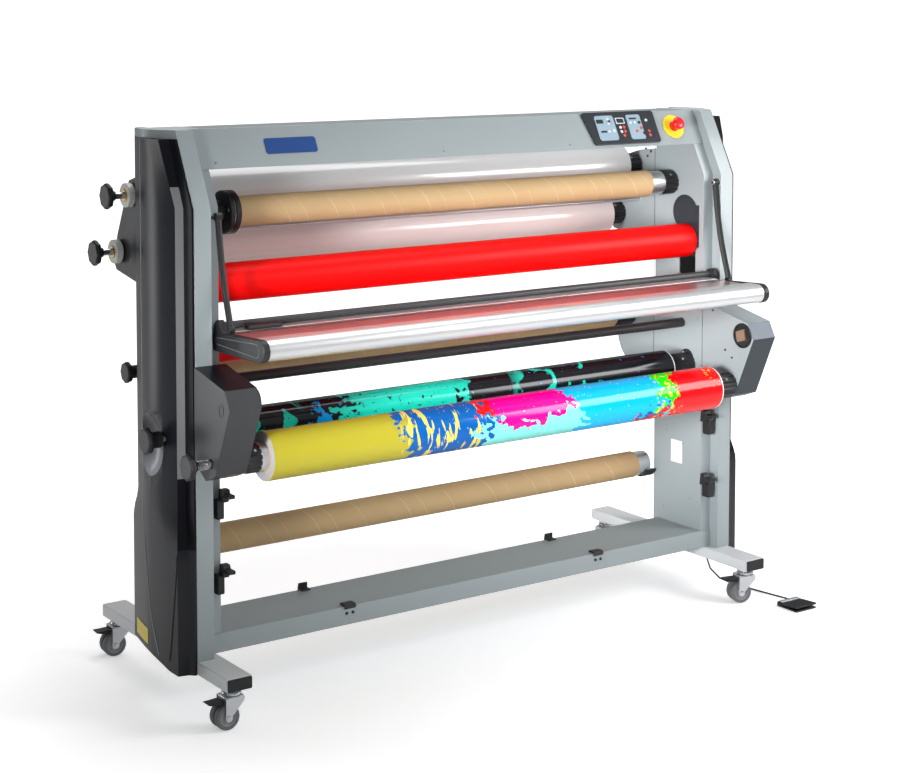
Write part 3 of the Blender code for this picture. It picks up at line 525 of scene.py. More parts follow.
def skin(node, material, width=0.0012, segments=3):
    """A CAD node's own shape as a clean mesh with rounded edges."""
    mesh = frame["nodes"][node].data.copy()
    mesh.name = node + "_skin"
    shape = bmesh.new()
    shape.from_mesh(mesh)
    bmesh.ops.remove_doubles(shape, verts=shape.verts, dist=1e-5)
    everything = {"verts": shape.verts, "edges": shape.edges}
    bmesh.ops.dissolve_limit(shape, angle_limit=math.radians(1), use_dissolve_boundaries=False, **everything)
    shape.to_mesh(mesh)
    shape.free()
    if "custom_normal" in mesh.attributes:
        mesh.attributes.remove(mesh.attributes["custom_normal"])
    piece = link(node + "_skin", mesh)
    soften(piece, width, segments)
    return dress(piece, material, body_of(frame["nodes"][node])[0], node)


def tones(piece, chosen, *materials):
    """Further materials on a piece: chosen(corners, normal) gives each face's index, 0 for the first one."""
    for material in materials:
        piece.data.materials.append(material)
    points = [vertex.co - ORIGIN for vertex in piece.data.vertices]
    for face in piece.data.polygons:
        face.material_index = int(chosen([points[i] for i in face.vertices], face.normal))


def screw(name, centre, facing, radius=0.0045, body="frame", material=None):
    """Socket screw head: centre on the face, facing is the outward direction."""
    turn = Vector(facing).to_track_quat("Z", "Y").to_matrix().to_4x4()
    shape = ((0.0, 1.0), (0.0016, 1.0), (0.0024, 0.8), (0.0024, 0.5), (0.001, 0.42))
    rings = turned([(z, radius * scale) for z, scale in shape], 24)
    return dress(loft(name, rings, False, Matrix.Translation(Vector(centre)) @ turn), material or ZINC, body)


def leaning_y(z, offset=0.0):
    return offset + (z - BEND_Z) * LEAN


# --- Frame ----------------------------------------------------------------------------------------

def on_top(corners, out):
    """1 on the upward faces above the covers, which get a paler grey as painted light from above."""
    return out.z > 0.5 and min(corner.z for corner in corners) > COVER_TOP


def arm_tone(_, out):
    """1 on the front and lower faces of the right arm, 2 on the face that leans up, which gets a paler slate
    as painted light.
    """
    if out.y < -0.5 and out.z > 0.2:
        return 2
    return out.y < -0.3 or out.z < -0.3


def dress_frame():
    for node in ("bottom_stretcher", "top_beam", "right_upper_rear_bracket", "left_lower_rear_arm",
                 "right_lower_rear_arm"):
        skin(node, GREY)
    for word, side in SIDES:
        upright = skin(word + "_side_frame", GREY)
        # Painted light: the tops of the uprights get the paler grey.
        tones(upright, on_top, TOP_LIT_GREY)
        skin(word + "_foot", FOOT)
    skin("left_upper_rear_bracket", DARK)
    arm = skin("right_front_arm", GREY, 0.0016)
    tones(arm, arm_tone, SLATE, SLATE_LIT)
    arm = skin("left_front_arm", DARK, 0.0016)
    # Painted shade: the upward faces of the left arm get the darker cover black.
    tones(arm, lambda _, out: out.z > 0.5, COVER)
    for node in ("drive_motor", "motor_sprocket", "drive_chain"):
        skin(node, OIL, 0.0006, 2)
    foot_x = (0.8657 + 0.941) / 2
    for word, side in SIDES:
        for tag, y0, y1 in (("front", -0.1597, -0.156), ("rear", 0.587, 0.59)):
            outline = rounded(0.07, 0.032, 0.004, (side * foot_x, 0.1365))
            cap = loft(word + "_foot_cap_" + tag, [[(a, y, b) for a, b in outline] for y in (y0, y1)])
            dress(soften(cap, 0.0008), BLACK)


def dress_hooks():
    """Black hooks on the front flanges and behind the plates for spare cores."""
    for word, side in SIDES:
        for tag, z in (("upper", 0.582), ("lower", 0.382)):
            name = word + "_hook_" + tag
            shank = rounded(0.03, 0.052, 0.006, (0.0202, z - 0.038))
            dress(soften(prism(name + "_body", shank, side * 0.857, side * 0.876), 0.002), BLACK)
            finger = [(-0.024, z + 0.004), (0.002, z + 0.004), (0.006, z + 0.014), (0.026, z + 0.014),
                      (0.03, z - 0.022), (0.012, z - 0.022), (0.004, z - 0.006), (-0.024, z - 0.006)]
            dress(soften(prism(name + "_finger", finger, side * 0.84, side * 0.862), 0.002), BLACK)
        y, z = STORED_CORE
        pad = arc((y, z), 0.0392, -158, -14, 20) + arc((y, z), 0.045, -14, -158, 20)
        dress(soften(prism(word + "_cradle_pad", pad, side * 0.812, side * 0.852), 0.0008), BLACK)


def dress_stretcher():
    """Two pairs of clips with their screws."""
    for tag, x in (("left", -0.455), ("right", 0.431)):
        bar = [(0.026, 0.2045), (0.0318, 0.199), (0.0318, 0.2076), (0.05, 0.2076), (0.056, 0.2085),
               (0.056, 0.213), (0.043, 0.214), (0.029, 0.213)]
        dress(soften(prism("clip_front_" + tag, bar, x - 0.018, x + 0.018), 0.0012), BLACK)
        for i, dx in enumerate((-0.01, 0.01)):
            screw("clip_screw_%s_%d" % (tag, i), (x + dx, 0.0322, 0.188), (0, -1, 0), 0.0042, material=BLACK)
        bar = [(0.215, 0.2072), (0.2372, 0.2072), (0.2372, 0.196), (0.241, 0.196), (0.242, 0.212),
               (0.238, 0.226), (0.233, 0.226), (0.233, 0.212), (0.215, 0.211)]
        dress(soften(prism("clip_rear_" + tag, bar, x - 0.044, x - 0.016), 0.001), BLACK)


def dress_side_plates():
    """Screws, brake plates, seams and a blank label on the inner faces."""
    for word, side in SIDES:
        face = side * (PLATE_X - 0.0002)
        inward = (-side, 0, 0)
        spots = ((0.06, 0.88), (0.205, 0.905), (0.215, 1.06), (0.07, 0.79), (0.19, 0.63), (0.09, 0.59),
                 (0.2, 0.5), (0.12, 0.47), (0.09, 0.3), (0.21, 0.25), (0.17, 0.56), (0.06, 0.64))
        for i, (y, z) in enumerate(spots):
            screw("%s_plate_screw_%02d" % (word, i), (face, y, z), inward, 0.0034, material=GREY)
        outline = arc((0.105, 0.748), 0.03, 20, 200, 12) + arc((0.105, 0.708), 0.034, 200, 380, 12)
        plate = prism(word + "_brake_plate", outline, face - side * 0.0002, face - side * 0.004)
        dress(soften(plate, 0.001), BLACK)
        for i, (y, z) in enumerate(((0.118, 0.762), (0.098, 0.715))):
            screw("%s_brake_bolt_%d" % (word, i), (face - side * 0.004, y, z), inward, 0.0075)
    for i, (y, z0, z1) in enumerate(((0.264, 0.6, 1.5), (0.0362, 0.7, 0.928))):
        strip = box_outline(y - 0.0007, y + 0.0007, z0, z1)
        dress(prism("right_plate_seam_%d" % i, strip, PLATE_X - 0.0006, PLATE_X - 0.0001), BLACK)
    for i, (y, z) in enumerate(((0.308, 1.402), (0.284, 1.394), (0.3, 1.378), (0.11, 1.44))):
        screw("right_rear_screw_%d" % i, (PLATE_X - 0.0002, y, z), (-1, 0, 0), 0.004, material=BLACK)
    label = rounded(0.052, 0.072, 0.003, (0.15, 0.44))
    piece = loft("blank_label", [[(x, y, z) for y, z in label] for x in (PLATE_X - 0.0008, PLATE_X - 0.0001)])
    dress(piece, PAPER)


def dress_front_arms():
    """Square-bore chuck sockets inside both arms and the blanked hole outside the left one."""
    y, z = -0.144, 0.855
    x = PLATE_X - 0.0002
    screws = ((-0.15, 0.887), (-0.012, 0.916), (-0.012, 0.704), (-0.068, 0.8), (-0.098, 0.78))
    for word, side in SIDES:
        rim = [(side * (x - deep), r) for deep, r in ((0.0, 0.0385), (0.004, 0.038), (0.0044, 0.033),
                                                      (0.002, 0.0315), (0.0018, 0.001))]
        dress(lathe(word + "_socket", rim, (y, z)), BLACK)
        corners = ((-0.016, -0.012), (0.018, -0.022), (0.024, 0.01), (-0.01, 0.022))
        outline = [(y + a, z + b) for a, b in corners]
        core = prism(word + "_socket_core", outline, side * (x - 0.0015), side * (x - 0.0075))
        dress(soften(core, 0.0008), TAN)
        for i in range(9):
            angle = math.radians(198 + i * 17)
            c, s = math.cos(angle), math.sin(angle)
            line = [(y + r * c + w * s, z + r * s - w * c)
                    for r, w in ((0.02, -0.0012), (0.031, -0.0016), (0.031, 0.0016), (0.02, 0.0012))]
            dress(prism("%s_socket_rib_%d" % (word, i), line, side * (x - 0.0015), side * (x - 0.0036)), FACE)
        for i, (a, b) in enumerate(screws):
            screw("%s_arm_screw_%d" % (word, i), (side * x, a, b), (-side, 0, 0), 0.003, material=BLACK)
    y, z = -0.148, 0.842
    rings = []
    for a, b in ring_of(1.0, 40):
        point = Vector((-0.9455, y + 0.0115 * a, z + 0.0165 * b))
        out = Vector((0, a, b))
        rings.append([point + Vector((c, 0, 0)) + out * d for c, d in ring_of(0.0007, 8)])
    dress(loft("arm_knockout", rings, True), BLACK)


# --- Covers ---------------------------------------------------------------------------------------

COVER_TOP = 1.512
SCOOP_CENTRE = (-1.01, 0.172, SCOOP_Z)
SCOOP_RADII = (0.052, 0.084, 0.09)
LEVELS = (0.142, 0.3, 0.42, 0.45, 0.48, 0.51, 0.535, 0.56, 0.63, 0.8, 1.1, BEND_Z, 1.39, 1.45,
          COVER_TOP)


def ease(low, high, value):
    t = min(1.0, max(0.0, (value - low) / (high - low)))
    return t * t * (3 - 2 * t)


def cover_line(z, inset=0.0):
    """Outer line (x, y) of a cover at height z, from the front edge to the rear edge."""
    front = max(0.0, (z - BEND_Z) * LEAN) + 0.002
    facet = max(1 - ease(0.42, 0.56, z), ease(BEND_Z, COVER_TOP, z))
    swell = 0.03 * (1 - ease(0.48, 0.56, z))
    strip = (0.947 + 0.012 * facet, front + 0.046 - 0.034 * facet)
    ridge = (0.968 + 0.019 * facet, front + 0.052 - 0.034 * facet)
    shoulder = (0.986 + 0.003 * facet, ridge[1] + 0.048)
    rear = 0.3 + swell
    line = [(0.947, front), strip, ridge, shoulder, (0.991, max(0.165, shoulder[1] + 0.03)), (0.985, 0.215),
            (0.962, rear), (0.95, rear + 0.006)]
    if not inset:
        return line
    middle = (line[0][1] + line[-1][1]) / 2
    pinch = 1 - 2 * inset / (line[-1][1] - line[0][1])
    return [(x - inset * 1.5, middle + (y - middle) * pinch) for x, y in line]


def cover_shell(name, side, inset, inside):
    rings = []
    for i, z in enumerate(LEVELS):
        line = cover_line(z, inset)
        line = [(inside, line[0][1])] + line + [(inside, line[-1][1])]
        ring = []
        for x, y in line:
            low = 0.12 + 0.022 * min(1.0, max(0.0, (y - 0.06) / 0.12))
            level = z if i else (low if not inset else 0.1)
            if inset and z == COVER_TOP:
                level -= inset
            ring.append((side * x, y, level))
        rings.append(ring)
    return loft(name, rings)


def boolean(piece, other, operation):
    change = piece.modifiers.new(operation.title(), "BOOLEAN")
    change.operation = operation
    change.solver = "EXACT"
    change.object = other
    graph = bpy.context.evaluated_depsgraph_get()
    mesh = bpy.data.meshes.new_from_object(piece.evaluated_get(graph))
    piece.modifiers.clear()
    piece.data = mesh
    bpy.data.objects.remove(other)
    return piece


def ball(name, centre, radii, steps=48):
    shape = bmesh.new()
    bmesh.ops.create_uvsphere(shape, u_segments=steps, v_segments=steps // 2, radius=1.0)
    return from_bmesh(name, shape, Matrix.Translation(centre) @ Matrix.Diagonal((*radii, 1.0)))


def on_cover(z, at):
    """Point (x, y) of a cover's outer line at height z; at counts its corners and may lie between two."""
    line = cover_line(z)
    corner = int(at)
    (x0, y0), (x1, y1) = line[corner], line[corner + 1]
    return x0 + (x1 - x0) * (at - corner), y0 + (y1 - y0) * (at - corner)


def in_scoop(point):
    """1 on the wall of the scoop, less inside it."""
    return Vector([(a - b) / radius for a, b, radius in zip(point, SCOOP_CENTRE, SCOOP_RADII)]).length


def cover_tone(corners, _):
    """1 on the pale groove beside the upright, paler as a painted reflection; 2 inside the scoop, paler at
    its foot as a painted highlight; 3 on the deep front edge and the rest of the groove above z 0.45, a
    deeper black as painted shade; otherwise 0.
    """
    middle = sum(corners, Vector()) / len(corners)
    (x0, y0), (x1, y1) = cover_line(middle.z)[1:3]
    groove = x0 - 0.001 < abs(middle.x) < x1 + 0.001 and abs(middle.y - (y0 + y1) / 2) < 0.006
    # Painted reflection: this part of the groove gets the paler grey.
    if groove and 0.63 < middle.z < 1.4:
        return 1
    # Painted shade: the front edge and the groove outside the pale span get the deeper black.
    if middle.z > 0.45 and (groove or abs(middle.x) < x0 + 0.001 and middle.y < y0 + 0.001):
        return 3
    return 2 if middle.x < 0 and all(0.985 < in_scoop(point) < 1.015 for point in corners) else 0


def dress_covers():
    for word, side in SIDES:
        inside = 0.9413
        piece = cover_shell(word + "_cover_shell", side, 0.0, inside)
        piece = boolean(piece, cover_shell("hollow", side, 0.003, inside - 0.006), "DIFFERENCE")
        if side < 0:
            thicker = [radius + 0.006 for radius in SCOOP_RADII]
            lump = cover_shell("lump", side, 0.0, inside)
            piece = boolean(piece, boolean(lump, ball("around", SCOOP_CENTRE, thicker), "INTERSECT"), "UNION")
            piece = boolean(piece, ball("dish", SCOOP_CENTRE, SCOOP_RADII), "DIFFERENCE")
        crease = 24
        piece.data.shade_smooth()
        piece.data.set_sharp_from_angle(angle=math.radians(crease))
        soften(piece, 0.0015, 3, crease)
        dress(piece, COVER, "frame", word + "_cover")
        tones(piece, cover_tone, GROOVE_REFLECTION, SCOOP, FRONT_SHADE_BLACK)
        dress_cover_trim(word, side)


def dress_cover_trim(word, side):
    """Bright seam down the side, a painted highlight where the cover turns; edge of the front tongue, and a
    plain amber tag near the foot.
    """
    seam = [(0.15, 3.6), (0.2, 3.85), (0.25, 4.1), (0.34, 4.6), (0.42, 4.95), (0.5, 5.12)]
    seam += [(z, 5.15) for z in (0.56, 0.8, 1.1, BEND_Z, 1.45, 1.508)]
    tongue = ((0.15, 2.95), (0.2, 2.72), (0.27, 2.5), (0.34, 2.27), (0.4, 2.1), (0.44, 2.02))
    # The seam tube is a painted highlight: a bright line where the cover turns.
    for tag, material, radius, spots in (("seam", TRIM_AND_SEAM_HIGHLIGHT, 0.001, seam), ("edge", BLACK, 0.0016, tongue)):
        path = []
        for z, at in spots:
            x, y = on_cover(z, at)
            path.append((side * (x + 0.0004), y, z))
        dress(tube("%s_cover_%s" % (word, tag), curve_through(path, 6), radius, 8), material)
    if side < 0:
        rings = []
        for z in (0.158, 0.2):
            line = [on_cover(z, at) for at in (4.6, 5.0, 5.75)]
            back = [(-x + 0.0005, y, z) for x, y in reversed(line)]
            rings.append([(-x - 0.0012, y, z) for x, y in line] + back)
        dress(loft("plain_tag", rings), YELLOW)


# --- Rollers and rolls ----------------------------------------------------------------------------

def ribbed(name, x0, x1, radius, axis, ribs=14):
    """Chuck body with shallow flutes."""
    rings = []
    for along, scale in ((0.0, 0.93), (0.08, 1.0), (0.9, 1.0), (1.0, 0.92)):
        ring = []
        for i in range(ribs * 8):
            angle = 2 * math.pi * i / (ribs * 8)
            reach = radius * scale * (1 - 0.07 * max(0.0, math.cos(ribs * angle)) ** 2)
            ring.append((x0 + (x1 - x0) * along, *polar(axis, reach, angle)))
        rings.append(ring)
    return loft(name, rings)


def chucks(name, axis, body, left, right, reach=0.87, stub=None):
    """Both chucks of a roll with their stub shafts and a screw each."""
    for (word, side), start in zip(SIDES, (left, right)):
        piece = ribbed("%s_chuck_%s" % (name, word), side * start, side * SPAN_END, CHUCK_RADIUS, axis)
        dress(piece, BLACK, body)
        profile = [(side * (start + 0.002), 0.0122), (side * reach, 0.0122)]
        dress(soften(lathe("%s_stub_%s" % (name, word), profile, axis, 40), 0.0006), stub or STEEL, body)
        spot = (side * (start + SPAN_END) / 2, axis[0] - CHUCK_RADIUS * 0.72, axis[1] + CHUCK_RADIUS * 0.66)
        screw("%s_chuck_screw_%s" % (name, word), spot, (0, -0.74, 0.67), 0.0042, body)


def sleeve(name, axis, body, ends, radii, material, *nodes, steps=96):
    """Hollow cylinder between two ends, with its outer and inner radius."""
    outer, bore = radii
    profile = [(ends[0], bore), (ends[0], outer), (ends[1], outer), (ends[1], bore)]
    return dress(soften(lathe(name, profile, axis, steps, True), 0.0008), material, body, *nodes)


def dress_nip():
    for name, axis in (("top_roller", TOP_ROLLER), ("bottom_roller", BOTTOM_ROLLER)):
        profile = [(-0.848, 0.0495), (-0.845, 0.0524), (0.845, 0.0524), (0.848, 0.0495)]
        piece = lathe(name + "_sleeve", profile, axis, 128)
        dress(soften(piece, 0.0006), RED, name, name)
        shaft = lathe(name + "_shaft", [(-0.88, 0.0148), (0.88, 0.0148)], axis, 48)
        dress(soften(shaft, 0.0008), STEEL, name)
        for word, side in SIDES:
            disc = [(side * 0.8483, 0.03), (side * 0.8486, 0.02)]
            dress(lathe("%s_face_%s" % (name, word), disc, axis, 64), STEEL, name)
    shaft = [(-0.911, 0.0122), (-0.87, 0.0122)]
    dress(soften(lathe("bottom_roller_drive", shaft, BOTTOM_ROLLER, 40), 0.0006), STEEL, "bottom_roller")
    teeth = []
    count = 20
    for i in range(count * 4):
        reach = 0.0332 if i % 4 in (1, 2) else 0.03
        teeth.append(polar(BOTTOM_ROLLER, reach, 2 * math.pi * i / (count * 4)))
    dress(soften(prism("bottom_roller_sprocket", teeth, -0.9025, -0.9075), 0.0004, 2), OIL, "bottom_roller")
    for word in ("left", "right"):
        skin(word + "_lift_block", BEZEL, 0.0008)


def dress_rolls():
    for name, axis, right, radius, material in (("upper_film", UPPER_FILM, 0.7755, 0.0718, CLEAR_UPPER),
                                                ("lower_film", LOWER_FILM, 0.7775, 0.0678, CLEAR_LOWER_RED_REFLECTION)):
        body = name + "_roll"
        sleeve(name + "_film", axis, body, (-0.7995, right), (radius, CARD_RADIUS), material, body, steps=128)
        card = cardboard(name + "_card", axis)
        sleeve(name + "_core", axis, body, (-0.7998, right + 0.0003), (0.0412, 0.0372), card)
        chucks(name, axis, body, 0.796, right - 0.0035)
    body = "rear_core"
    card = cardboard("rear_card", REAR_CORE)
    sleeve("rear_core_card", REAR_CORE, body, (-0.795, 0.7655), (CARD_RADIUS, 0.0372), card, body)
    sleeve("rear_core_sleeve", REAR_CORE, body, (-0.815, 0.772), (0.037, 0.03), ALU)
    chucks("rear_core", REAR_CORE, body, 0.81, 0.77)
    dress_liner()
    dress_prints()
    body = "stored_core"
    card = cardboard("stored_card", STORED_CORE)
    sleeve("stored_core_card", STORED_CORE, body, (-0.78, 0.78), (CARD_RADIUS, 0.0376), card, body)
    sleeve("stored_core_mandrel", STORED_CORE, body, (-0.8308, 0.8308), (TUBE_RADIUS, 0.033), ALU)
    for word, side in SIDES:
        plug = ribbed("stored_core_plug_" + word, side * 0.82, side * 0.83, 0.0325, STORED_CORE, 8)
        dress(plug, BLACK, body)
    for node, material, body in (("guide_rod", DARK, "frame"), ("film_idler", ALU, "film_idler")):
        low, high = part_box(node)
        centre = (low + high) / 2 - ORIGIN
        radius = (high.z - low.z) / 2 * 0.996
        piece = lathe(node + "_bar", [(-SPAN_END, radius), (SPAN_END, radius)], (centre.y, centre.z), 64)
        dress(soften(piece, 0.0006), material, body, node)


def dress_liner():
    body = "liner_roll"
    card = cardboard("liner_card_tone", LINER)
    sleeve("liner_card", LINER, body, (-0.742, 0.7435), (CARD_RADIUS, 0.0376), card, "liner_core")
    sleeve("liner_tube", LINER, body, (-0.764, 0.797), (TUBE_RADIUS, 0.032), ALU, "liner_mandrel")
    chucks("liner", LINER, body, 0.819, 0.795, stub=BLACK)
    disc = [(-0.82, 0.03), (-0.819, 0.031), (-0.77, 0.033), (-0.765, 0.057), (-0.762, 0.0597),
            (-0.754, 0.0597), (-0.752, 0.057), (-0.7515, 0.05), (-0.7485, 0.05), (-0.748, 0.057),
            (-0.746, 0.0597), (-0.733, 0.0597), (-0.731, 0.0575), (-0.731, 0.0418), (-0.764, 0.0418),
            (-0.765, 0.03)]
    dress(lathe("liner_disc", disc, LINER, 96, True), BLACK, body)
    rim = [(-0.7505, 0.0501), (-0.7505, 0.058), (-0.7495, 0.058), (-0.7495, 0.0501)]
    dress(lathe("liner_disc_rim", rim, LINER, 96, True), STEEL, body)
    screw("liner_disc_screw", (-0.765, LINER[0] - 0.046, LINER[1] + 0.01), (-1, 0, 0), 0.0042, body)


def dress_prints():
    for name, axis, radius, x0, x1, material, inner in (
            ("rear_print", REAR_PRINT, 0.0538, -0.78, 0.7515, DARKPRINT, 0.0455),
            ("front_print", FRONT_PRINT, 0.0652, -0.793, 0.7685, BRIGHT, 0.042)):
        sleeve(name + "_wound", axis, name, (x0, x1), (radius, inner), material, name + "_roll", steps=160)
        card = cardboard(name + "_card_tone", axis)
        sleeve(name + "_card", axis, name, (x0 - 0.0004, x1 + 0.0004), (inner - 0.0002, 0.0379), card)
        ends = (-0.816, x1 + 0.0085)
        sleeve(name + "_tube", axis, name, ends, (TUBE_RADIUS, 0.032), ALU, name + "_mandrel")
        chucks(name, axis, name, 0.812, x1 + 0.0055, reach=0.8655)
        for (word, side), x in zip(SIDES, (x0, x1)):
            near, far = x + side * 0.0001, x + side * 0.001
            rim = [(near, radius - 0.0022), (far, radius - 0.0018), (far, inner), (near, inner)]
            dress(lathe("%s_rim_%s" % (name, word), rim, axis, 128, True), PAPER_END_SHADE, name)


def dress_knobs():
    knobs = (("upper_film_knob", UPPER_FILM, -0.8735), ("lower_film_knob", LOWER_FILM, -0.8735),
             ("rear_core_knob", REAR_CORE, -0.8735), ("rear_print_knob", REAR_PRINT, -0.867),
             ("front_print_knob", FRONT_PRINT, -0.867))
    for name, axis, stem_to in knobs:
        low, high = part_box(name)
        x = low.x - ORIGIN.x
        radius = (high.z - low.z) / 2
        knob_head(name, axis, x, radius)
        neck, shoulder, length = 0.36, 0.45, 0.03
        if name in ("rear_print_knob", "rear_core_knob"):
            neck, shoulder, length = 0.6, 0.6, 0.046
        back = [(x + 0.015, radius * 0.66), (x + 0.019, radius * shoulder), (x + length, radius * neck),
                (x + length, 0.009)]
        dress(lathe(name + "_neck", back, axis, 64), BLACK, name)
        dress(lathe(name + "_stem", [(x + 0.02, 0.0094), (stem_to, 0.0094)], axis, 40), STEEL, name)
        if name.endswith("film_knob"):
            film_collar(name, axis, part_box("left_upper_rear_bracket")[0].x - ORIGIN.x)
        if name == "front_print_knob":
            knob_spring(name, axis, x)


def knob_head(name, axis, x, radius):
    """Eight-lobed head with a shallow ring on its face."""
    rings = []
    for dx, scale in ((0.0006, 0.86), (0.0016, 0.95), (0.0045, 1.0), (0.0115, 1.0), (0.015, 0.94),
                      (0.016, 0.84)):
        ring = []
        for i in range(96):
            angle = 2 * math.pi * i / 96
            reach = radius * scale * (0.985 - 0.075 * (0.5 - 0.5 * math.cos(8 * angle)) ** 0.7)
            ring.append((x + dx, *polar(axis, reach, angle)))
        rings.append(ring)
    dress(loft(name + "_head", rings, sharp=50), BLACK, name, name)
    face = [(x + 0.002, radius * 0.78), (x + 0.0002, radius * 0.76), (x + 0.0002, radius * 0.08),
            (x + 0.001, radius * 0.05)]
    dress(lathe(name + "_face", face, axis, 64), FACE, name)


def film_collar(name, axis, wall):
    """White friction disc between two thin brass washers, outside the bracket's wall."""
    for tag, x0, x1, radius, material in (("collar", wall - 0.024, wall - 0.005, 0.033, NYLON),
                                          ("washer_a", wall - 0.0265, wall - 0.0241, 0.017, BRASS),
                                          ("washer_b", wall - 0.0049, wall - 0.0025, 0.026, BRASS)):
        ring = [(x0, radius - 0.002), (x0 + 0.0015, radius), (x1 - 0.0015, radius), (x1, radius - 0.002)]
        dress(lathe("%s_%s" % (name, tag), ring, axis, 64), material, name)


def knob_spring(name, axis, x):
    turns, per_turn = 7, 16
    path = []
    for i in range(turns * per_turn + 1):
        angle = 2 * math.pi * i / per_turn
        along = x + 0.034 + 0.026 * i / (turns * per_turn)
        path.append((along, *polar(axis, 0.0118, angle)))
    dress(tube(name + "_spring", path, 0.0013, 8), STEEL, name)
    dress(lathe(name + "_washer", [(x + 0.0625, 0.0125), (x + 0.065, 0.0125)], axis, 48), ZINC, name)


# --- Table ----------------------------------------------------------------------------------------

def dress_table():
    half = 0.8523
    body = "table"
    nose = arc(TABLE_NOSE, 0.0277, 90, 270, 40)
    outline = nose + [(-0.165, 0.967), (-0.163, 0.972), (-0.163, 1.015), (-0.168, 1.0212)]
    piece = prism("table_nose", outline, -half, half)
    piece.data.set_sharp_from_angle(angle=math.radians(35))
    dress(soften(piece, 0.0006, 2, 35), NOSE, body, "table_panel")
    sheet = [(-0.1625, 1.0125), (-0.03, 1.0122), (-0.03, 1.0158), (-0.1625, 1.0158)]
    lip = [(-0.06, 1.0158), (-0.0595, 1.0166), (-0.0575, 1.0166), (-0.057, 1.0158)]
    dress(prism("table_sheet_seam", lip, -half, half), DARK, body)
    rail = [(-0.0298, 1.012), (0.0075, 1.012), (0.008, 1.016), (-0.002, 1.019), (-0.0298, 1.0165)]
    rib = [(0.0042, 1.0175), (0.0158, 1.0127), (0.0145, 1.0238), (0.0062, 1.0238)]
    # The sheet's material carries the painted red reflection.
    for tag, outline, material in (("sheet", sheet, PLATE), ("rear_rail", rail, NOSE), ("rib", rib, DARK)):
        dress(soften(prism("table_" + tag, outline, -half, half), 0.0006, 2), material, body)
    dress(soften(lathe("table_bar", [(-half, 0.0099), (half, 0.0099)], TABLE_BAR, 48), 0.0006), DARK, body)
    latch = [(-0.032, 1.0168), (-0.008, 1.019), (-0.007, 1.025), (-0.011, 1.029), (-0.028, 1.027),
             (-0.033, 1.0215)]
    dress(soften(prism("table_latch", latch, -0.8, -0.7), 0.0015), BLACK, body)
    for i, x in enumerate((-0.79, -0.71)):
        screw("table_latch_screw_%d" % i, (x, -0.02, 1.028), (0, 0, 1), 0.0038, body, BLACK)
    for i, x in enumerate((0.8714, 0.8913)):
        washer = [(x, 0.0055), (x, 0.0095), (x - 0.0016, 0.0095), (x - 0.0016, 0.0055)]
        dress(lathe("stay_washer_%d" % i, washer, STAY_TOP, 40, True), ZINC)
    for word, side in SIDES:
        skin("table_arm_" + word, BLACK, 0.003, 4)
        skin("table_stay_" + word, BLACK, 0.0008)
        x = side * 0.8724
        outer = arc((TABLE_NOSE[0] + 0.012, TABLE_NOSE[1]), 0.0175, 92, 262, 16)
        outer += arc((0.008, 0.99), 0.0085, 268, 452, 16)
        rings = []
        for i, (y, z) in enumerate(outer):
            before, after = outer[i - 1], outer[(i + 1) % len(outer)]
            ahead = Vector((0, after[0] - before[0], after[1] - before[1]))
            out = ahead.cross(Vector((1, 0, 0))).normalized()
            rings.append([Vector((x, y, z)) + Vector((1, 0, 0)) * a + out * b for a, b in ring_of(0.0011, 8)])
        # Painted highlight: the oval ring is paler than the black arm.
        dress(loft("table_arm_ring_" + word, rings, True), ARM_RING_HIGHLIGHT, body)
        for i, y in enumerate((-0.088, 0.006)):
            screw("table_arm_screw_%s_%d" % (word, i), (x, y, 0.991), (side, 0, 0), 0.005, body, BLACK)


# --- Controls -------------------------------------------------------------------------------------

def on_beam(x, z):
    """Matrix from a plane facing +Z to the leaning front of the beam."""
    tilt = math.atan2(1.0, LEAN)
    return Matrix.Translation((x, leaning_y(z, BEAM_FACE), z)) @ Matrix.Rotation(tilt, 4, "X")


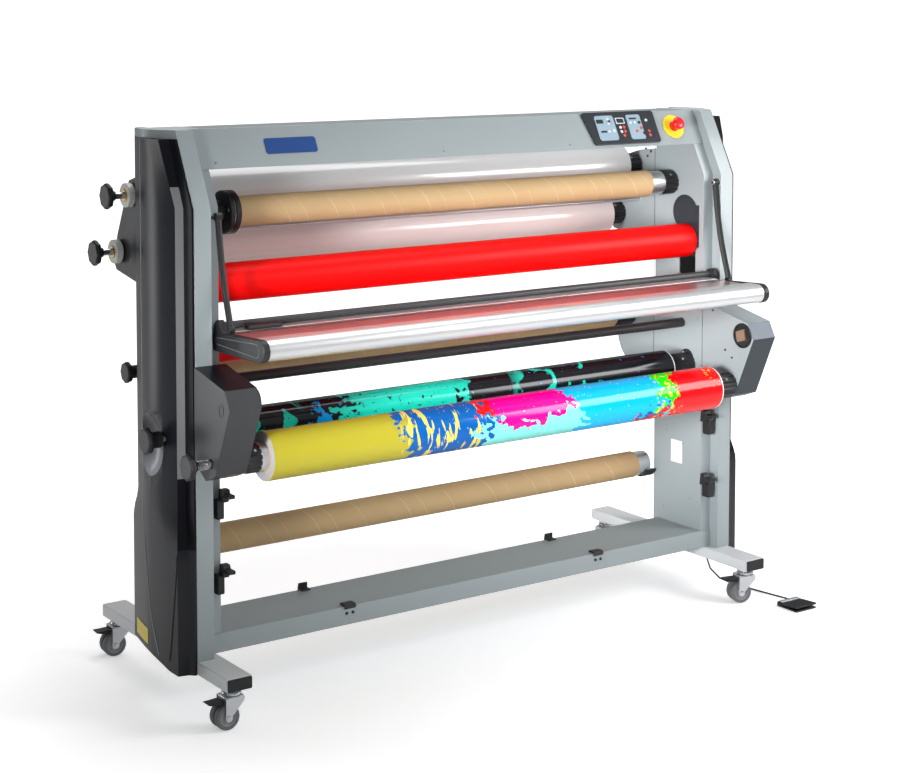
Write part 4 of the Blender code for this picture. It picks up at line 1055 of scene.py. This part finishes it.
def dress_controls():
    """Control panel, stop button, plain badge and cover screws on the beam."""
    place = on_beam(0.582, 1.4865)
    corners = ((0.1345, 0.0537, 0, 90), (-0.15, 0.0537, 90, 164), (-0.13, -0.0537, 164, 270),
               (0.1345, -0.0537, 270, 360))
    outline = []
    for x, y, start, stop in corners:
        inset = 0.01
        outline += arc((x - math.copysign(inset, x), y - math.copysign(inset, y)), inset, start, stop, 8)
    bezel = slab("panel_bezel", outline, 0.0005, 0.0068, place)
    dress(soften(bezel, 0.0022, 4), BEZEL, "frame", "control_panel")
    pads = (("pad_left", -0.068, 0.0, 0.074, 0.082, KEYPAD), ("pad_right", 0.048, 0.0, 0.056, 0.082, KEYPAD),
            ("pad_dark", -0.008, 0.0, 0.046, 0.082, GLASS), ("pad_end", 0.096, 0.0, 0.034, 0.082, GLASS),
            ("window_left", -0.088, 0.022, 0.026, 0.013, GLASS),
            ("window_frame", -0.008, 0.022, 0.034, 0.02, KEY),
            ("window_middle", -0.008, 0.022, 0.028, 0.014, GLASS),
            ("bar_right", 0.044, 0.028, 0.028, 0.005, BEZEL),
            ("bar_left", -0.082, -0.012, 0.022, 0.006, BEZEL), ("bar_key", -0.042, -0.01, 0.01, 0.01, KEY))
    for i, (tag, x, y, width, height, material) in enumerate(pads):
        outline = rounded(width, height, min(width, height) * 0.12, (x, y))
        dress(slab("panel_" + tag, outline, 0.0066, 0.0074 + 0.00015 * i, place), material)
    keys = ((-0.056, 0.028, 1), (-0.056, 0.014, 1), (-0.062, -0.012, 1), (-0.052, 0.021, 0), (-0.014, 0.0, 1),
            (0.0, 0.0, 2), (-0.014, -0.014, 1), (0.0, -0.014, 2), (-0.007, -0.027, 2), (0.032, 0.014, 1),
            (0.048, 0.014, 1), (0.066, 0.014, 0), (0.048, -0.014, 2), (0.068, -0.004, 2), (0.074, -0.022, 0),
            (0.096, 0.02, 1), (0.096, -0.016, 2), (0.096, -0.03, 2))
    for i, (x, y, tone) in enumerate(keys):
        key = slab("panel_key_%02d" % i, ring_like(0.0048, (x, y)), 0.0073, 0.0096, place)
        dress(soften(key, 0.0004, 2), (BEZEL, KEY, KEY_RED)[tone])
    place = on_beam(0.787, 1.484)
    disc = ((0.0005, 0.0395), (0.003, 0.0395), (0.0038, 0.0385))
    dress(loft("stop_disc", turned(disc), False, place), YELLOW)
    collar = ((0.0036, 0.0165), (0.008, 0.016), (0.0088, 0.0152), (0.0088, 0.014), (0.0036, 0.014))
    dress(loft("stop_neck", turned(collar, 48), True, place), BUTTON)
    head = ((0.0105, 0.013), (0.021, 0.0132), (0.0225, 0.016), (0.0238, 0.0194), (0.027, 0.0203),
            (0.031, 0.0202), (0.0345, 0.0188), (0.037, 0.016), (0.0384, 0.0115), (0.0388, 0.005))
    dress(loft("stop_head", turned(head), False, place, 60), BUTTON, "stop_button", "stop_button")
    badge = slab("plain_badge", rounded(0.16, 0.046, 0.008), 0.0004, 0.0022, on_beam(-0.592, 1.482))
    dress(soften(badge, 0.0006, 2), BADGE)
    for i, x in enumerate((-0.83, -0.1, 0.36)):
        place = on_beam(x, 1.446)
        facing = place.to_3x3() @ Vector((0, 0, 1))
        screw("beam_screw_%d" % i, place @ Vector((0, 0, 0.0004)), facing, 0.003, material=GREY)


def ring_like(radius, centre):
    return [(centre[0] + a, centre[1] + b) for a, b in ring_of(radius, 20)]


# --- Castors --------------------------------------------------------------------------------------

def dress_castors():
    for name in [name[:-7] for name in JOINTS if name.endswith("castor_swivel")]:
        swivel = Vector(JOINTS[name + "_swivel"]["pos_m"]) - ORIGIN
        roll = JOINTS[name + "_roll"]["axis"]
        heading = math.atan2(-roll[0], roll[1])
        dress_castor(name, Matrix.Translation((swivel.x, swivel.y, 0.0)) @ Matrix.Rotation(heading, 4, "Z"))


def dress_castor(name, turn):
    """Twin wheel, fork, swivel race, axle and brake; laid out with the swivel at 0 and the axle trailing."""
    wheel = name + "_wheel"
    low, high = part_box(wheel)
    radius = (high.z - low.z) / 2
    axle_z = radius - ORIGIN.z
    trail = 0.02

    def round_axle(profile, steps=64):
        return [[(trail + a, across, axle_z + b) for a, b in ring_of(r, steps)] for across, r in profile]

    for tag, s, nodes in (("_tyre_a", -1, (wheel,)), ("_tyre_b", 1, ())):
        tread = [(s * 0.003, 0.023), (s * 0.003, radius - 0.003), (s * 0.005, radius - 0.0008),
                 (s * 0.0075, radius - 0.0002), (s * 0.018, radius - 0.0002), (s * 0.0205, radius - 0.001),
                 (s * 0.0225, radius - 0.0035), (s * 0.0228, 0.023)]
        dress(loft(name + tag, round_axle(tread), True, turn), TYRE, wheel, *nodes)
        hub = [(s * 0.003, 0.0232), (s * 0.0215, 0.0232), (s * 0.0205, 0.02), (s * 0.017, 0.018),
               (s * 0.0175, 0.011), (s * 0.0225, 0.009), (s * 0.0225, 0.0056), (s * 0.003, 0.0056)]
        dress(loft(name + tag + "_hub", round_axle(hub), True, turn), HUB, wheel)
    outline = [(-0.0255, 0.096), (0.0295, 0.096), (0.029, 0.086)] + arc((trail, axle_z), 0.0105, 20, -200, 14)
    outline += [(-0.0235, 0.086)]
    for tag, s, nodes in (("_cheek_a", -1, (name + "_fork",)), ("_cheek_b", 1, ())):
        rings = [[(x, y, z) for x, z in outline] for y in (s * 0.0247, s * 0.0273)]
        dress(soften(loft(name + tag, rings, False, turn), 0.0009), ZINC, name, *nodes)
    crown = slab(name + "_crown", rounded(0.055, 0.054, 0.01, (0.002, 0.0)), 0.094, 0.0984, turn)
    dress(soften(crown, 0.0018), ZINC, name)
    race = ((0.098, 0.018), (0.099, 0.0245), (0.102, 0.0262), (0.105, 0.0262), (0.1075, 0.0245),
            (0.1085, 0.0175), (0.11, 0.017), (0.1112, 0.0255), (0.1185, 0.0258))
    dress(loft(name + "_race", turned(race), False, turn), ZINC, name)
    nut = round_axle(((-0.0298, 0.0068), (-0.027, 0.0068)), 6)
    dress(soften(loft(name + "_nut", nut, False, turn), 0.0008), ZINC, name)
    bolt = round_axle(((0.027, 0.0072), (0.029, 0.007), (0.0298, 0.005)), 32)
    dress(loft(name + "_bolt", bolt, False, turn), ZINC, name)
    skin(name + "_brake_lever", BLACK, 0.0015)


# --- Pedal ----------------------------------------------------------------------------------------

def dress_pedal():
    skin("pedal_base", BLACK, 0.0015)
    skin("pedal_plate", BLACK)
    skin("pedal_cable", BLACK, 0.0002, 1)
    low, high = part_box("pedal_base")
    low, high = low - ORIGIN, high - ORIGIN
    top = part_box("pedal_plate")[1].z - ORIGIN.z
    rear = high.y
    cap = [(rear - 0.0185, high.z - 0.0004), (rear - 0.001, high.z - 0.0004), (rear - 0.003, high.z + 0.0024),
           (rear - 0.016, high.z + 0.0024)]
    dress(soften(prism("pedal_bar", cap, low.x + 0.004, high.x - 0.004), 0.0008), TRIM_AND_SEAM_HIGHLIGHT)
    slope = 0.0565
    for i in range(7):
        y = -0.283 + i * 0.008
        z = top - (y + 0.29) * slope
        rib = [(y, z - 0.0016), (y + 0.003, z - 0.0018), (y + 0.0026, z + 0.0006), (y + 0.0004, z + 0.0008)]
        dress(prism("pedal_rib_%d" % i, rib, low.x + 0.008, high.x - 0.008), BLACK, "pedal_plate")
    screw("pedal_pin", (high.x - 0.0026, -0.2155, low.z + 0.0085), (1, 0, 0), 0.003)


# --- Studio ---------------------------------------------------------------------------------------

def light(name, location, target, energy, size):
    """Soft rectangular light, seen in reflections but not by the camera."""
    data = bpy.data.lights.new(name, "AREA")
    data.energy = energy
    data.shape = "RECTANGLE"
    data.size, data.size_y = size
    lamp = bpy.data.objects.new(name, data)
    lamp.location = Vector(location)
    lamp.visible_camera = False
    lamp.rotation_euler = (Vector(target) - Vector(location)).to_track_quat("-Z", "Y").to_euler()
    bpy.context.scene.collection.objects.link(lamp)
    return lamp


def backdrop():
    """White to the camera; to everything else a sky that is brighter above and on the right."""
    world = bpy.data.worlds.new("studio")
    bpy.context.scene.world = world
    world.use_nodes = True
    tree = world.node_tree
    tree.nodes.clear()
    node = {}
    for key, kind in (("out", "OutputWorld"), ("seen", "Background"), ("lit", "Background"),
                      ("ramp", "ValToRGB"), ("where", "TexCoord"), ("split", "SeparateXYZ"), ("half", "Math"),
                      ("paths", "LightPath"), ("mix", "MixShader"), ("across", "MapRange")):
        node[key] = tree.nodes.new("ShaderNode" + kind)
    node["seen"].inputs[0].default_value = (1, 1, 1, 1)
    node["seen"].inputs[1].default_value = 1.0
    low, high = node["ramp"].color_ramp.elements
    low.position, low.color = 0.42, (0.55, 0.57, 0.6, 1)
    high.position, high.color = 0.85, (1, 1, 1, 1)
    node["half"].operation = "MULTIPLY_ADD"
    node["half"].inputs[1].default_value = 0.5
    node["half"].inputs[2].default_value = 0.5
    for name, value in (("From Min", -0.75), ("From Max", 0.25), ("To Min", 0.12), ("To Max", 0.5)):
        node["across"].inputs[name].default_value = value
    for source, socket, target, plug in (("where", "Generated", "split", 0), ("split", 0, "across", "Value"),
                                         ("across", "Result", "lit", 1), ("split", 2, "half", 0),
                                         ("half", 0, "ramp", 0), ("ramp", 0, "lit", 0),
                                         ("paths", "Is Camera Ray", "mix", 0), ("lit", 0, "mix", 1),
                                         ("seen", 0, "mix", 2), ("mix", 0, "out", 0)):
        tree.links.new(node[source].outputs[socket], node[target].inputs[plug])


def lights():
    middle = (0.0, 0.0, 0.8)
    light("key", (2.2, -2.0, 1.9), (0.5, 0.0, 0.9), 56, (1.2, 1.2))
    light("fill", (-2.4, -3.8, 2.8), middle, 12, (2.4, 1.6))
    light("top", (0.5, 0.4, 3.8), middle, 48, (3.0, 1.2))
    light("side", (-3.0, 3.0, 1.1), (-0.99, 0.16, 0.9), 22, (0.7, 3.0))
    narrow = light("plate", (-2.6, -1.5, 1.2), (0.85, 0.1, 0.85), 9.5, (0.8, 0.8))
    narrow.data.spread = math.radians(30)


def ground():
    """Pale floor that fades to white away from the machine."""
    far = 30.0
    mesh = bpy.data.meshes.new("floor")
    mesh.from_pydata([(x, y, 0) for x, y in box_outline(-far, far, -far, far)], [], [(0, 1, 2, 3)])
    floor = bpy.data.objects.new("floor", mesh)
    floor.location.z = -0.0006
    bpy.context.scene.collection.objects.link(floor)
    made = Shader("floor_paint", 0.85)
    made.set("Base Color", made.mix(made.noise(1.5, 3.0), (0.9, 0.9, 0.905), (0.93, 0.93, 0.935)))
    made.set("Emission Color", (1, 1, 1, 1))
    away = made.add("ShaderNodeVectorMath", {0: made.where}, operation="LENGTH").outputs["Value"]
    values = {"Value": away, "From Min": 1.0, "From Max": 2.6, "To Min": 0.3, "To Max": 0.9}
    rise = made.add("ShaderNodeMapRange", values).outputs["Result"]
    seen = made.add("ShaderNodeLightPath").outputs["Is Camera Ray"]
    made.set("Emission Strength", made.math("ADD", 0.1, made.times(rise, seen)))
    mesh.materials.append(made.material)


def camera():
    """Standpoint left of the middle, slightly above, with the frame shifted as a view camera's would be.
    The shift holds only at this standpoint, so that a view from elsewhere has the machine in its middle."""
    data = bpy.data.cameras.new("camera")
    eye = bpy.data.objects.new("camera", data)
    bpy.context.scene.collection.objects.link(eye)
    bpy.context.scene.camera = eye
    yaw, pitch = math.radians(34.631), math.radians(3.774)
    ahead = Vector((math.sin(yaw) * math.cos(pitch), math.cos(yaw) * math.cos(pitch), -math.sin(pitch)))
    eye.rotation_mode = "QUATERNION"
    eye.rotation_quaternion = ahead.to_track_quat("-Z", "Y")
    eye.location = Vector((-3.1349, -4.2521, 1.8377)) + ORIGIN
    data.sensor_width = 36.0
    data.sensor_fit = "HORIZONTAL"
    data.lens = 74.6
    data.clip_end = 100.0
    stand = eye.location.x
    for channel, amount in (("shift_x", 0.0189), ("shift_y", -0.2779)):
        driver = data.driver_add(channel).driver
        driver.type = "SCRIPTED"
        source = driver.variables.new()
        source.name = "x"
        source.type = "TRANSFORMS"
        source.targets[0].id = eye
        source.targets[0].transform_type = "LOC_X"
        source.targets[0].transform_space = "WORLD_SPACE"
        driver.expression = "%.4f if abs(x - %.4f) < 0.001 else 0.0" % (amount, stand)


dress_frame()
dress_hooks()
dress_stretcher()
dress_side_plates()
dress_front_arms()
dress_covers()
dress_nip()
dress_rolls()
dress_knobs()
dress_table()
dress_controls()
dress_castors()
dress_pedal()
bpy.context.scene.view_settings.view_transform = "Standard"
backdrop()
lights()
ground()
camera()
